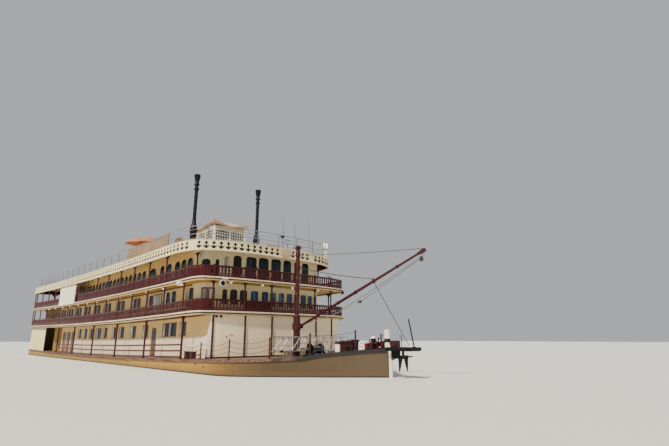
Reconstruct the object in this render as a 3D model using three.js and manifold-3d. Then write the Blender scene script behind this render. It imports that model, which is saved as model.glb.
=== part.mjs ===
// A three-deck stern-wheel river steamer, as a model at half size.
// Sizes are metres of the full-size boat: X runs forward from the stem (X = 0), Y to port and
// Z up from the waterline (Z = 0). The group at the end turns them into model millimetres.
import * as THREE from 'three';
import { mergeVertices } from 'three/addons/utils/BufferGeometryUtils.js';
import Module from 'manifold-3d';

const wasm = await Module();
wasm.setup();

// Driving dimensions
const modelMillimetres = 500;   // model millimetres for a metre of the full-size boat
const originStation = -32;      // the model's origin lies under this station, on the hull's bottom
const draught = 1.2;
const halfBeam = 7.5;
const transom = -64;
const deckEnd = -64.3;          // after end of the upper decks
const halfDeck = 7.8;           // half width of the upper decks
const halfHouse = 6.3;          // half width of the deckhouses
const mainDeck = 0.64;
const second = { under: 3.907, top: 4.05 };
const third = { under: 6.452, top: 6.59 };
const roof = { under: 8.897, plate: 9.45, top: 9.6, edge: 9.75 };
const bay = 3.5;                // pitch of the gallery posts
const firstPost = -14;
const touch = 0.0008;           // gap between pieces that rest on each other
const runOn = 0.3;              // length that a bowed front runs on along the sides
const wall = 0.12;              // thickness of house walls and screens
const wheel = { x: -60.3, z: 2.6, radius: 3.5, half: 3.3, floats: 16 };
const well = { front: -56.3, half: 3.75 };   // the stern recess that holds the wheel
const rail = 0.916;             // height of the gallery hand rail above its deck
const roofRail = 1.4;           // height of the roof rail above the roof deck

// Rise of the decks at stations along the boat: station, rise
const sheerLine = [
  [2.5, 0.806], [0, 0.712], [-8, 0.452], [-16, 0.251], [-27, 0.07], [-39, 0], [-50, 0.033], [-65, 0.191],
];

// Colours, roughness and metalness of the finishes
const finishes = {
  cream: [0xe8dcc0, 0.6, 0], hullTan: [0xc3a068, 0.65, 0], white: [0xe9e7e0, 0.5, 0],
  maroon: [0x5e1620, 0.45, 0], mastRed: [0x701a24, 0.45, 0.1], timber: [0x6b4a30, 0.8, 0],
  black: [0x1b1c1e, 0.5, 0.3], steel: [0x9aa0a4, 0.4, 0.8], railGrey: [0xb9bcbb, 0.5, 0.3],
  wheelRed: [0x9c2a20, 0.6, 0], machine: [0x4b5a50, 0.6, 0.4], lockerRed: [0x7d1c18, 0.6, 0],
  canvas: [0xcdbb97, 0.9, 0], orange: [0xc77a2a, 0.9, 0], brownDoor: [0x5a3322, 0.6, 0],
};
const materials = Object.fromEntries(Object.entries(finishes).map(([name, [color, roughness, metalness]]) =>
  [name, new THREE.MeshStandardMaterial({ color, roughness, metalness })]));

const steamer = new THREE.Group();

// Solids and booleans

function solid(geometry) {
  const plain = geometry.clone();
  plain.deleteAttribute('normal');
  plain.deleteAttribute('uv');
  const merged = mergeVertices(plain, 1e-5);
  const vertProperties = new Float32Array(merged.attributes.position.array);
  const triVerts = new Uint32Array(merged.index.array);
  return new wasm.Manifold(new wasm.Mesh({ numProp: 3, vertProperties, triVerts }));
}

const join = (solids) => solids.reduce((all, one) => all.add(one));
const cut = (body, tools) => tools.reduce((rest, tool) => rest.subtract(tool), body);

function toGeometry(body) {
  const { vertProperties, triVerts } = body.getMesh();
  const geometry = new THREE.BufferGeometry();
  geometry.setAttribute('position', new THREE.BufferAttribute(new Float32Array(vertProperties), 3));
  geometry.setIndex(new THREE.BufferAttribute(new Uint32Array(triVerts), 1));
  return geometry;
}

function block([x0, x1], [y0, y1], [z0, z1]) {
  const box = new THREE.BoxGeometry(Math.abs(x1 - x0), Math.abs(y1 - y0), Math.abs(z1 - z0));
  return solid(box.translate((x0 + x1) / 2, (y0 + y1) / 2, (z0 + z1) / 2));
}

function slab(outline, low, high) {
  const shape = new THREE.Shape(outline.map(([x, y]) => new THREE.Vector2(x, y)));
  const options = { depth: high - low, bevelEnabled: false };
  return solid(new THREE.ExtrudeGeometry(shape, options).translate(0, 0, low));
}

// A round or tapered bar between two points
function bar(from, to, radius, sides = 8, endRadius = radius) {
  const start = new THREE.Vector3(...from);
  const run = new THREE.Vector3(...to).sub(start);
  const cylinder = new THREE.CylinderGeometry(endRadius, radius, run.length(), sides);
  const turn = new THREE.Quaternion().setFromUnitVectors(new THREE.Vector3(0, 1, 0), run.clone().normalize());
  const middle = start.addScaledVector(run, 0.5);
  return solid(cylinder.applyQuaternion(turn).translate(middle.x, middle.y, middle.z));
}

// A body turned about an upright axis from its radius and height pairs
function turned([x, y], profile, sides) {
  const points = profile.map(([radius, height]) => new THREE.Vector2(radius, height));
  return solid(new THREE.LatheGeometry(points, sides).rotateX(Math.PI / 2).translate(x, y, 0));
}

// A body through level rings of points; all rings have the same number of points
function layered(rings) {
  const count = rings[0].length;
  const points = rings.flat();
  const faces = [];
  for (let layer = 0; layer < rings.length - 1; layer++) {
    for (let i = 0; i < count; i++) {
      const [a, b] = [layer * count + i, layer * count + (i + 1) % count];
      faces.push(a, b, b + count, a, b + count, a + count);
    }
  }
  const cap = THREE.ShapeUtils.triangulateShape(rings[0].map(([x, y]) => new THREE.Vector2(x, y)), []);
  const last = (rings.length - 1) * count;
  for (const [a, b, c] of cap) faces.push(c, b, a, last + a, last + b, last + c);
  const geometry = new THREE.BufferGeometry();
  geometry.setAttribute('position', new THREE.Float32BufferAttribute(points.flat(), 3));
  geometry.setIndex(faces);
  return solid(geometry);
}

// Plan curves

// The points of a path moved sideways, to the right of its direction
function offsetPath(path, distance) {
  const normal = ([x0, y0], [x1, y1]) => {
    const length = Math.hypot(x1 - x0, y1 - y0);
    return [(y1 - y0) / length, (x0 - x1) / length];
  };
  return path.map((point, i) => {
    const before = normal(path[Math.max(i - 1, 0)], path[Math.max(i, 1)]);
    const after = normal(path[Math.min(i, path.length - 2)], path[Math.min(i + 1, path.length - 1)]);
    const scale = distance / (1 + before[0] * after[0] + before[1] * after[1]);
    return [point[0] + (before[0] + after[0]) * scale, point[1] + (before[1] + after[1]) * scale];
  });
}

// An upright strip along a path, from the path to its right by the thickness
function strip(path, thickness, low, high) {
  return slab([...path, ...offsetPath(path, thickness).reverse()], low, high);
}

// Bowed front of a deck or house, from starboard to port: its middle, how far the corners sweep
// back, its half width, where the corner starts, the station where the side starts and where it ends
function frontCurve({ middle, sweep, half, corner, side, end = side - runOn }) {
  const bow = (y) => middle - sweep * (0.35 * (y / half) ** 2 + 0.65 * (y / half) ** 6);
  const straight = [0.3, 0.6, 0.82, 1].map((part) => [bow(corner * part), corner * part]);
  const round = [30, 60, 90].map((degrees) => {
    const turn = THREE.MathUtils.degToRad(degrees);
    return [side + (bow(corner) - side) * Math.cos(turn), corner + (half - corner) * Math.sin(turn)];
  });
  const port = [...straight, ...round, [end, half]];
  const starboard = port.map(([x, y]) => [x, -y]).reverse();
  return [...starboard, [middle, 0], ...port];
}

const deckFront = { middle: -11.06, sweep: 0.84, half: halfDeck, corner: 7.15, side: -13.15, end: firstPost };
const roofFront = { middle: -12.04, sweep: 2.28, half: halfDeck, corner: 6.6, side: -16.7 };
const houseFront = { middle: -13.3, sweep: 0.84, half: halfHouse, corner: 5.6, side: -15 };
const screenFront = { middle: -11.3, sweep: 0.84, half: 7.6, corner: 6.72, side: -13.3 };

const deckOutline = (front, end) => [...frontCurve(front), [end, front.half], [end, -front.half]];
const mirrored = (path) => path.map(([x, y]) => [x, -y]);

// Sheer: every face is cut at the stations of a sheer line, then lifted by its rise

function rise(x, line = sheerLine) {
  const i = line.findIndex(([station]) => x >= station);
  if (i === 0) return line[0][1];
  const [[x0, z0], [x1, z1]] = [line[i - 1], line[i]];
  return z0 + (z1 - z0) * (x - x0) / (x1 - x0);
}

// The hull's own edge rises more at the stem than the decks above it: station, extra rise
const stemRise = [[2.5, 0.72], [0, 0.46], [-1.3, 0.4], [-3.1, 0.23], [-4, 0.04], [-6, 0]];
const hullLine = [...stemRise.map(([x, extra]) => [x, rise(x) + extra]), ...sheerLine.slice(2)];

function splitFace(face, station) {
  const side = face.map(([x]) => (Math.abs(x - station) < 1e-5 ? 0 : Math.sign(x - station)));
  if (!side.includes(1) || !side.includes(-1)) return [face];
  const crossing = (p, q) => {
    const [a, b] = p[0] < q[0] ? [p, q] : [q, p];
    const part = (station - a[0]) / (b[0] - a[0]);
    return [station, a[1] + (b[1] - a[1]) * part, a[2] + (b[2] - a[2]) * part];
  };
  const onLine = side.indexOf(0);
  if (onLine >= 0) {
    const [p, q, r] = [0, 1, 2].map((step) => face[(onLine + step) % 3]);
    const middle = crossing(q, r);
    return [[p, q, middle], [p, middle, r]];
  }
  const alone = side.findIndex((one) => side.filter((other) => other === one).length === 1);
  const [p, q, r] = [0, 1, 2].map((step) => face[(alone + step) % 3]);
  const [pq, pr] = [crossing(p, q), crossing(p, r)];
  return [[p, pq, pr], [pq, q, r], [pq, r, pr]];
}

function sheered(body, line) {
  const flat = toGeometry(body).toNonIndexed().attributes.position;
  let faces = [];
  for (let i = 0; i < flat.count; i += 3) {
    faces.push([0, 1, 2].map((step) => [flat.getX(i + step), flat.getY(i + step), flat.getZ(i + step)]));
  }
  for (const [station] of line) faces = faces.flatMap((face) => splitFace(face, station));
  const lifted = faces.flat(2);
  for (let i = 0; i < lifted.length; i += 3) {
    if (lifted[i + 2] > 0) lifted[i + 2] += rise(lifted[i], line);
  }
  const geometry = new THREE.BufferGeometry();
  geometry.setAttribute('position', new THREE.Float32BufferAttribute(lifted, 3));
  return mergeVertices(geometry, 1e-5);
}

function place(name, finish, geometry) {
  const smooth = geometry.toNonIndexed();
  smooth.computeVertexNormals();
  const mesh = new THREE.Mesh(smooth, materials[finish]);
  mesh.name = name;
  steamer.add(mesh);
}

const placeSheered = (name, finish, body, line = sheerLine) => place(name, finish, sheered(body, line));
const placeLevel = (name, finish, body) => place(name, finish, toGeometry(body));
const sides = [['starboard', -1], ['port', 1]];
const across = (path, hand) => path.map(([x, y]) => [x, y * hand]);

// A strip whose thickness lies inboard of a path that runs aft on either side
const sideStrip = (path, hand, thickness, low, high) =>
  strip(across(path, hand), -hand * thickness, low, high);

// Hull

const bowLine = [[-0.05, 0.2], [-2, 2.15], [-4, 4.1], [-6, 5.95], [-7.6, 7.1], [-9.2, halfBeam]];

function hullRing(inset, height) {
  const port = [...bowLine, [transom, halfBeam]].map(([x, y]) => {
    const squeeze = (halfBeam - inset) / halfBeam;
    return [x < -20 ? x : x - inset * 0.8, y * squeeze, height];
  });
  const starboard = port.map(([x, y, z]) => [x, -y, z]).reverse();
  return [...port.reverse(), ...starboard.reverse()].reverse();
}

function makeHull() {
  // inset and height of each level of the hull's skin
  const levels = [[0.5, -draught], [0.12, -0.85], [0, -0.3], [0, 0.02], [0, mainDeck]];
  let hull = layered(levels.map(([inset, height]) => hullRing(inset, height)));
  const recess = block([well.front, transom - 1], [-well.half, well.half], [-2, 2]);
  const run = { start: -57, end: -63.4, rise: -0.02 };   // the raked bottom under the stern
  const wedge = new THREE.Shape([
    new THREE.Vector2(run.start, -draught), new THREE.Vector2(run.end, run.rise),
    new THREE.Vector2(transom - 1, run.rise), new THREE.Vector2(transom - 1, -2),
    new THREE.Vector2(run.start, -2),
  ]);
  const rake = new THREE.ExtrudeGeometry(wedge, { depth: 2 * halfBeam + 2, bevelEnabled: false });
  rake.rotateX(Math.PI / 2).translate(0, halfBeam + 1, 0);
  hull = cut(hull, [recess, solid(rake)]);
  for (const [, hand] of sides) {
    hull = hull.subtract(bar([rudder.x, hand * rudder.y, -1], [rudder.x, hand * rudder.y, 0.2], 0.1));
  }
  return hull;
}

const rudder = { x: -61.7, y: 5.6, front: -60.95, back: -63.35, bottom: -1.1, top: -0.52, half: 0.045 };

placeSheered('hull', 'hullTan', makeHull(), hullLine);

const strake = { low: 0.43, high: mainDeck, thick: 0.08 };
const hullSide = [...bowLine, [transom, halfBeam]];
const strakePath = [...hullSide.slice().reverse().map(([x, y]) => [x, -y]), ...hullSide];
function makeStrake() {
  return strip(offsetPath(strakePath, touch), strake.thick, strake.low, strake.high);
}
for (const [side, hand] of sides) {
  const reach = [[-70, -0.06], hand > 0 ? [touch, 9] : [-9, -touch]];
  placeSheered(`rubbing_strake_${side}`, 'timber', makeStrake().intersect(block(...reach, [0, 2])), hullLine);
}

// Bow: the stem post with its bollard head, the platform ahead of it, the jackstaff and the anchor

const stem = { front: 0.14, half: 0.07, low: -0.8, neck: 1.96, bollard: -0.2, head: 0.17, high: 2.96 };
placeLevel('stem_post', 'white', join([
  block([-0.05 + touch, stem.front], [-stem.half, stem.half], [stem.low, stem.neck + 0.02]),
  block([stem.bollard, stem.front], [-stem.half, stem.half], [1.86, stem.neck + 0.02]),
  turned([stem.bollard, 0], [[0, 1.86], [stem.head, 1.86], [stem.head, stem.high - 0.08],
    [stem.head - 0.06, stem.high], [0, stem.high]], 10),
]));

const platform = { low: 1.66, high: 1.88, back: stem.front + touch, front: 2.02, half: 0.55 };
placeLevel('bow_platform', 'black', join([
  block([platform.back, platform.front], [-platform.half, platform.half], [platform.low, platform.high]),
  block([platform.back, 0.8], [-0.06, 0.06], [1.2, platform.low + 0.05]),
]));
placeLevel('jackstaff', 'black', bar([1.94, 0, platform.high + 0.012], [1.58, 0, 3.62], 0.045));

// The anchor hangs crown up, its two flukes pointing down
const anchor = { x: 1.05, stock: 1.3, tip: 0.42 };
placeLevel('anchor', 'black', join([
  block([anchor.x - 0.05, anchor.x + 0.05], [-0.05, 0.05], [anchor.stock - 0.1, platform.low - touch]),
  bar([anchor.x, -0.95, anchor.stock], [anchor.x, 0.95, anchor.stock], 0.045, 8),
  block([anchor.x - 0.12, anchor.x + 0.12], [-0.4, 0.4], [anchor.stock - 0.12, anchor.stock + 0.1]),
  ...[-1, 1].map((hand) => bar([anchor.x, 0.26 * hand, anchor.stock],
    [anchor.x, 0.4 * hand, anchor.tip], 0.2, 4, 0.04)),
]));

// Derrick: the kingpost, the collar that swivels on it and the boom

// Height at which a level-footed piece stands on a deck, from its station and its half length
const standing = (deck, x, half) => deck + Math.max(rise(x - half), rise(x + half)) + touch;

const kingpost = { x: -9.6, foot: standing(mainDeck, -9.6, 0.27), head: 9.94, radius: 0.175, base: 0.28 };
const heel = { x: -9.12, z: 3.38 };
const boomTip = { x: 3.09, z: 7.88 };
const postProfile = [
  [0, kingpost.foot], [kingpost.base, kingpost.foot], [kingpost.base, 4.1], [kingpost.radius, 4.22],
  [kingpost.radius, 9.6], [0.22, 9.66], [0.22, 9.8], [0.1, kingpost.head], [0, kingpost.head],
];
placeLevel('kingpost', 'mastRed', turned([kingpost.x, 0], postProfile, 12));

function makeCollar() {
  const clearance = 0.012;
  const ring = [[kingpost.base + clearance, 3.1], [0.36, 3.1], [0.36, 3.62], [kingpost.base + clearance, 3.62],
    [kingpost.base + clearance, 3.1]];
  const lug = (hand) => block([kingpost.x + 0.32, heel.x + 0.12], [0.12 * hand, 0.17 * hand], [3.22, 3.54]);
  return join([turned([kingpost.x, 0], ring, 12), lug(-1), lug(1)]);
}
placeLevel('boom_collar', 'mastRed', makeCollar());

function makeBoom() {
  const length = Math.hypot(boomTip.x - heel.x, boomTip.z - heel.z);
  const at = (part) => [heel.x + (boomTip.x - heel.x) * part, 0, heel.z + (boomTip.z - heel.z) * part];
  const pin = bar([heel.x, -0.108, heel.z], [heel.x, 0.108, heel.z], 0.09);
  const cap = bar(at(1 - 0.35 / length), at(1), 0.14);
  return join([bar(at(0), at(0.5), 0.09, 10, 0.11), bar(at(0.5), at(0.995), 0.11, 10, 0.075), pin, cap]);
}
placeLevel('boom', 'mastRed', makeBoom());

// Main deck: the bowed front screen with its pipes, the side walls, posts and stern casings

const screenPath = frontCurve(screenFront).slice(4, -4);   // the screen ends where its corners would start
const screenPipes = [-6.3, -3.7, -1.2, 1.3, 3.6, 5.65];   // Y of the pipes on the screen
function onFront(front, y) {
  const path = frontCurve(front);
  const i = path.findIndex(([, py]) => py >= y);
  const [[x0, y0], [x1, y1]] = [path[i - 1], path[i]];
  return x0 + (x1 - x0) * (y - y0) / (y1 - y0);
}
// The starboard end of the screen narrows upwards: height and the side that is left
const narrowed = [[1.9, -6.71], [2.9, -6.55], [4.2, -6.41]].map(([z, y]) =>
  [[-11, -6.9, z], [-11, y, z], [-13, y, z], [-13, -6.9, z]]);
placeSheered('main_front_screen', 'cream', join([
  strip(screenPath, -wall, mainDeck + touch, second.under - touch).subtract(layered(narrowed)),
  ...screenPipes.map((y) => bar([onFront(screenFront, y), y, mainDeck + touch],
    [onFront(screenFront, y), y, second.under - touch], 0.1)),
]));

const mainWall = { front: -11.87, back: -52, firstPost: -14.28 };
const door = { x0: -21.6, x1: -22.55, height: 2.5, leaf: 0.06, play: 0.02 };
const sill = mainDeck + 0.06;
for (const [side, hand] of sides) {
  const path = [[mainWall.front, halfHouse], [mainWall.back, halfHouse]];
  const opening = block([door.x0, door.x1], [hand * 6, hand * 7], [sill, sill + door.height]);
  const plain = sideStrip(path, hand, wall, mainDeck + touch, second.under - touch);
  placeSheered(`main_wall_${side}`, 'cream', plain.subtract(opening));
}

const galleryPosts = (from, to, pitch) => {
  const stations = [];
  for (let x = from; x > to; x -= pitch) stations.push(x);
  return stations;
};
const fenceRails = [0.1, 0.55, 1];   // heights of the side fence's rails above the main deck
for (const [side, hand] of sides) {
  const beam = block([mainWall.firstPost + 0.08, deckEnd + 0.1], [hand * 7.46, hand * 7.6], [3.7, second.under - touch]);
  const stations = galleryPosts(mainWall.firstPost, -56, 2 * bay);
  const posts = stations.map((x) =>
    block([x - 0.08, x + 0.08], [hand * 7.3, hand * 7.46 + hand * 0.02], [mainDeck + touch, 3.85]));
  const rails = fenceRails.map((height) =>
    block([stations[0], stations.at(-1)], [hand * 7.36, hand * 7.42], [mainDeck + height, mainDeck + height + 0.06]));
  placeSheered(`main_deck_posts_${side}`, 'maroon', join([beam, ...posts, ...rails]));
}

const casing = { front: -56, back: -63.9, outer: 7.45, inner: 3.87 };
for (const [side, hand] of sides) {
  const path = [[casing.front, casing.outer], [casing.back, casing.outer], [casing.back, casing.inner]];
  const outer = sideStrip(path, hand, wall, mainDeck + touch, second.under - touch);
  const inner = block([well.front + 0.02 - touch, casing.back], [hand * casing.inner, hand * (casing.inner + wall)],
    [mainDeck + touch, second.under - touch]);
  const hole = bar([wheel.x, hand * 3, wheel.z - rise(wheel.x)], [wheel.x, hand * 5, wheel.z - rise(wheel.x)], 0.35, 12);
  placeSheered(`stern_casing_${side}`, 'cream', outer.add(inner).subtract(hole));
}
placeSheered('engine_room_bulkhead', 'cream',
  block([well.front + 0.02, well.front + 0.02 + wall], [-6.2, 6.2], [mainDeck + touch, second.under - touch]));
placeSheered('engine', 'machine', block([-50, -55], [-1.6, 1.6], [mainDeck + touch, mainDeck + 2.1]));

// Second and third decks: plates, deckhouse walls and galleries

function makePlate(front, level) {
  return slab(deckOutline(front, deckEnd), level.under, level.top);
}
const wellCut = block([well.front, deckEnd - 1], [-well.half, well.half], [3, 5]);
placeSheered('second_deck', 'white', makePlate(deckFront, second).subtract(wellCut));
placeSheered('third_deck', 'white', makePlate(deckFront, third));

const houseEnds = { second: -62.3, third: -49.5 };   // aft of its house the third deck is an open terrace
const storeys = [
  ['second', second.top + touch, third.under - touch], ['third', third.top + touch, roof.under + 0.553 - touch],
];
for (const [name, low, high] of storeys) {
  const front = frontCurve(houseFront);
  placeSheered(`${name}_house_front`, 'cream', strip(front, -wall, low, high));
  for (const [side, hand] of sides) {
    const start = houseFront.side - runOn - touch;
    const end = houseEnds[name];
    const path = name === 'second'
      ? [[start, halfHouse], [end, halfHouse], [end, well.half + 0.3]]
      : [[start, halfHouse], [end, halfHouse]];
    placeSheered(`${name}_house_${side}`, 'cream', sideStrip(path, hand, wall, low, high));
  }
}
const secondStorey = [second.top + touch, third.under - touch];
placeSheered('third_house_aft', 'cream', block([houseEnds.third + touch, houseEnds.third + wall],
  [-halfHouse + wall + touch, halfHouse - wall - touch], [storeys[1][1], storeys[1][2]]));
placeSheered('wheel_trunk', 'cream', join([
  block([well.front + 0.05, well.front + 0.05 + wall],
    [-halfHouse + wall + touch, halfHouse - wall - touch], secondStorey),
  ...sides.map(([, hand]) => block([well.front + 0.05 + wall, casing.back],
    [hand * casing.inner, hand * (casing.inner + wall)], secondStorey)),
]));

// A gallery: posts from deck to deck, with a hand rail and a balustrade board along a path
function gallery(path, posts, low, high, height) {
  const [width, board] = [0.1, 0.04];
  const handRail = strip(path, -width, low + height - 0.07, low + height);
  const fence = strip(offsetPath(path, -0.03), -board, low + 0.08, low + height - 0.03);
  const uprights = posts.map(([x, y, short]) =>
    block([x - 0.06, x + 0.06], [y - 0.06, y + 0.06], [low, short ? low + height + 0.02 : high]));
  return join([handRail, fence, ...uprights]);
}

const railInset = 0.12;
const sideY = halfDeck - railInset;
const frontPosts = [-6.4, -3.85, -1.35, 1.15, 3.35, 5.4];   // Y of the posts along the bowed front
const galleries = [
  ['second', second.top + touch, third.under - touch, well.half + 0.15],
  ['third', third.top + touch, roof.under - touch, 0.06],
];
for (const [name, low, high, inboard] of galleries) {
  const bowed = offsetPath(frontCurve(deckFront), -railInset);
  const open = name === 'third';   // the roof ends behind the third deck's front, so its posts end at the rail
  const posts = frontPosts.map((y) => [onFront(deckFront, y) - railInset - 0.05, y, open]);
  placeSheered(`${name}_gallery_front`, 'maroon', gallery(bowed, posts, low, high, rail));
  for (const [side, hand] of sides) {
    const end = deckEnd + railInset;
    const path = across([[firstPost - touch, sideY], [end, sideY], [end, inboard]], hand);
    const stations = [...galleryPosts(firstPost - 0.08, end - 0.5, bay), end + 0.06];
    const uprights = stations.map((x, i) => [x, hand * (sideY - 0.05), open && i === 0]);
    const body = gallery(hand > 0 ? path : path.reverse(), uprights, low, high, rail);
    placeSheered(`${name}_gallery_${side}`, 'maroon', body);
  }
}

// Roof deck with its deep pierced fascia, and the rail round it

const roofOutline = deckOutline(roofFront, deckEnd);
const fascia = 0.1;
function makeRoof() {
  const ring = slab(roofOutline, roof.under, roof.edge);
  const inner = [...offsetPath(frontCurve(roofFront), -fascia),
    [deckEnd + fascia, halfDeck - fascia], [deckEnd + fascia, -halfDeck + fascia]];
  const plate = slab(roofOutline, roof.plate, roof.top);
  return ring.subtract(slab(inner, roof.under - 1, roof.edge + 1)).add(plate);
}
placeSheered('roof_deck', 'cream', makeRoof());

const roofLine = 0.3;    // the roof rail stands this far inside the fascia
const roofPost = { first: -18, pitch: bay * 2 / 3 };
for (const [side, hand] of sides) {
  const y = halfDeck - roofLine;
  const end = deckEnd + roofLine;
  const start = roofFront.side - runOn;
  const path = [[start - touch, hand * y], [end, hand * y], [end, hand * 0.03]];
  const posts = galleryPosts(roofPost.first, end - 0.5, roofPost.pitch).map((x) => [x, hand * (y - 0.03)]);
  placeSheered(`roof_rail_${side}`, 'railGrey', roofRailing(hand > 0 ? path : path.reverse(), posts));
}
function roofRailing(path, posts) {
  const low = roof.top + touch;
  const bars = [[roofRail - 0.05, roofRail], [0.5 * roofRail, 0.5 * roofRail + 0.04]];
  const rails = bars.map(([from, to]) => strip(path, -0.05, low + from, low + to));
  const uprights = posts.map(([x, y]) => block([x - 0.03, x + 0.03], [y - 0.03, y + 0.03], [low, low + roofRail]));
  return join([...rails, ...uprights]);
}
const bowedRail = offsetPath(frontCurve(roofFront), -roofLine);
const bowedPosts = [-6.3, -4.2, -2.1, 0, 2.1, 4.2, 6.3].map((y) => [onFront(roofFront, y) - roofLine - 0.03, y]);
placeSheered('roof_rail_front', 'railGrey', roofRailing(bowedRail, bowedPosts));

// A canvas dodger laced to four bays of the starboard roof rail, and two parasols behind it
placeSheered('rail_canvas', 'canvas', block([roofPost.first, roofPost.first - 4 * roofPost.pitch],
  [-halfDeck + roofLine - touch, -halfDeck + roofLine - 0.03], [roof.top + 0.08, roof.top + roofRail - 0.1]));

// place across the roof, height and radius of each parasol
const parasols = { fore: [-25.45, -6.2, 2.6, 1.35], aft: [-28.3, -6.2, 3, 1.35] };
for (const [name, [x, y, height, radius]] of Object.entries(parasols)) {
  const foot = standing(roof.top, x, 0.3);
  const top = foot + height;
  placeLevel(`parasol_${name}`, 'orange', turned([x, y], [
    [0, foot], [0.3, foot], [0.3, foot + 0.1], [0.035, foot + 0.12], [0.035, top - 0.16], [radius, top - 0.72],
    [radius, top - 0.66], [0.04, top - 0.04], [0, top],
  ], 8));
}

// Wheelhouse and funnels on the roof

const house = { front: -20.58, back: -25.64, half: 1.81, sill: 10.9, head: 12.9, top: 13.2 };
function makeWheelhouse() {
  const outer = block([house.front, house.back], [-house.half, house.half], [roof.top + touch, house.top]);
  const inner = block([house.front - wall, house.back + wall], [-house.half + wall, house.half - wall],
    [roof.top - 1, house.top + 1]);
  const lookout = [
    block([house.front + 1, house.back - 1], [-1.4, 1.4], [house.sill, house.head]),
    ...[[-21.0, -22.4], [-22.6, -24], [-24.2, -25.3]].map((span) => block(span, [-3, 3], [house.sill, house.head])),
  ];
  return cut(outer.subtract(inner), lookout);
}
placeSheered('wheelhouse', 'cream', makeWheelhouse());

function makeWheelhouseRoof() {
  const middle = (house.front + house.back) / 2;
  const halfLength = (house.front - house.back) / 2;
  // overhang, height and lift of the corners of each level of the hipped roof
  const levels = [[0.22, 0, 0.34], [0.28, 0.09, 0.44], [0, 0.16, 0], [-0.5, 0.46, 0], [-1.15, 0.78, 0]];
  const rings = levels.map(([overhang, height, lift]) => {
    const [x, y, z] = [halfLength + overhang, house.half + overhang, house.top + touch + height];
    return [[x, 0, 0], [x, y, lift], [0, y, 0], [-x, y, lift], [-x, 0, 0], [-x, -y, lift], [0, -y, 0], [x, -y, lift]]
      .map(([dx, dy, up]) => [middle + dx, dy, z + up]);
  });
  return layered(rings);
}
placeSheered('wheelhouse_roof', 'cream', makeWheelhouseRoof());

const funnel = { x: -21.3, y: 3.65, top: 18.35 };
for (const [side, hand] of sides) {
  const foot = standing(roof.top, funnel.x, 0.45);
  // radius and height of the funnel's outline
  const profile = [
    [0, foot], [0.42, foot], [0.42, foot + 0.12], [0.3, foot + 0.3], [0.3, 12.1], [0.35, 12.45], [0.34, 12.8],
    [0.22, 13.35], [0.17, 13.65], [0.17, 16.7], [0.24, 16.76], [0.24, 16.95], [0.17, 17.0], [0.17, 17.2], [0.24, 17.3],
    [0.19, 17.6], [0.3, funnel.top], [0.15, funnel.top], [0.12, funnel.top - 0.6], [0, funnel.top - 0.6],
  ];
  placeLevel(`funnel_${side}`, 'black', turned([funnel.x, hand * funnel.y], profile, 12));
}

// Paddle wheel, its shaft and bearings, and the rudders

function makeWheel() {
  const pieces = [];
  for (const y of [-wheel.half + 0.15, 0, wheel.half - 0.15]) {
    for (const [outer, inner] of [[wheel.radius - 0.35, wheel.radius - 0.5], [0.55, 0.24]]) {
      const profile = [[inner, -0.06], [outer, -0.06], [outer, 0.06], [inner, 0.06], [inner, -0.06]];
      const points = profile.map(([radius, height]) => new THREE.Vector2(radius, height));
      pieces.push(solid(new THREE.LatheGeometry(points, wheel.floats).translate(0, y, 0)));
    }
    for (let i = 0; i < wheel.floats; i += 2) {
      const spoke = new THREE.BoxGeometry(0.1, 0.08, wheel.radius - 0.85).translate(0, y, wheel.radius / 2 + 0.05);
      pieces.push(solid(spoke.rotateY(2 * Math.PI * (i + 0.5) / wheel.floats)));
    }
  }
  for (let i = 0; i < wheel.floats; i++) {
    const float = new THREE.BoxGeometry(0.06, 2 * wheel.half, 0.85).translate(0.05, 0, wheel.radius - 0.43);
    pieces.push(solid(float.rotateY(2 * Math.PI * i / wheel.floats)));
  }
  const body = join(pieces);
  return toGeometry(body).translate(wheel.x, 0, wheel.z);
}
place('paddle_wheel', 'wheelRed', makeWheel());
const shaft = { radius: 0.2, half: 4.9 };
placeLevel('wheel_shaft', 'steel', bar([wheel.x, -shaft.half, wheel.z], [wheel.x, shaft.half, wheel.z], shaft.radius, 12));

for (const [side, hand] of sides) {
  const foot = standing(mainDeck, wheel.x, 0.6);
  const span = [hand * 4.25, hand * 4.75];
  const bore = bar([wheel.x, hand * 4, wheel.z], [wheel.x, hand * 5, wheel.z], shaft.radius + 0.012, 12);
  const pedestal = join([
    block([wheel.x - 0.6, wheel.x + 0.6], span, [foot, foot + 0.25]),
    block([wheel.x - 0.35, wheel.x + 0.35], span, [foot, wheel.z + 0.4]),
  ]);
  placeLevel(`wheel_bearing_${side}`, 'machine', pedestal.subtract(bore));
}

for (const [side, hand] of sides) {
  const y = hand * rudder.y;
  placeLevel(`rudder_${side}`, 'maroon', join([
    block([rudder.front, rudder.back], [y - rudder.half, y + rudder.half], [rudder.bottom, rudder.top]),
    bar([rudder.x, y, rudder.bottom + 0.1], [rudder.x, y, 0.1], 0.085),
  ]));
}

// Doors in the main deck walls, hinged at their forward edge
for (const [side, hand] of sides) {
  const outer = halfHouse - 0.01;
  const lift = rise(door.x0) + 0.004;
  placeLevel(`main_door_${side}`, 'brownDoor', block([door.x0 - door.play, door.x1 + door.play],
    [hand * (outer - door.leaf), hand * outer], [sill + lift + 0.01, sill + rise(door.x1) + door.height - 0.02]));
}

// Blank boards on the sides, aft

for (const [side, hand] of sides) {
  placeSheered(`side_board_${side}`, 'white', block([-42.4, -49], [hand * (halfDeck + touch), hand * (halfDeck + 0.07)],
    [third.under, 8.7]));
}

// Foredeck gear: the windlass behind the stem, a locker, the derrick's winch and the stowed gangway

const deckTop = mainDeck + touch;

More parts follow.
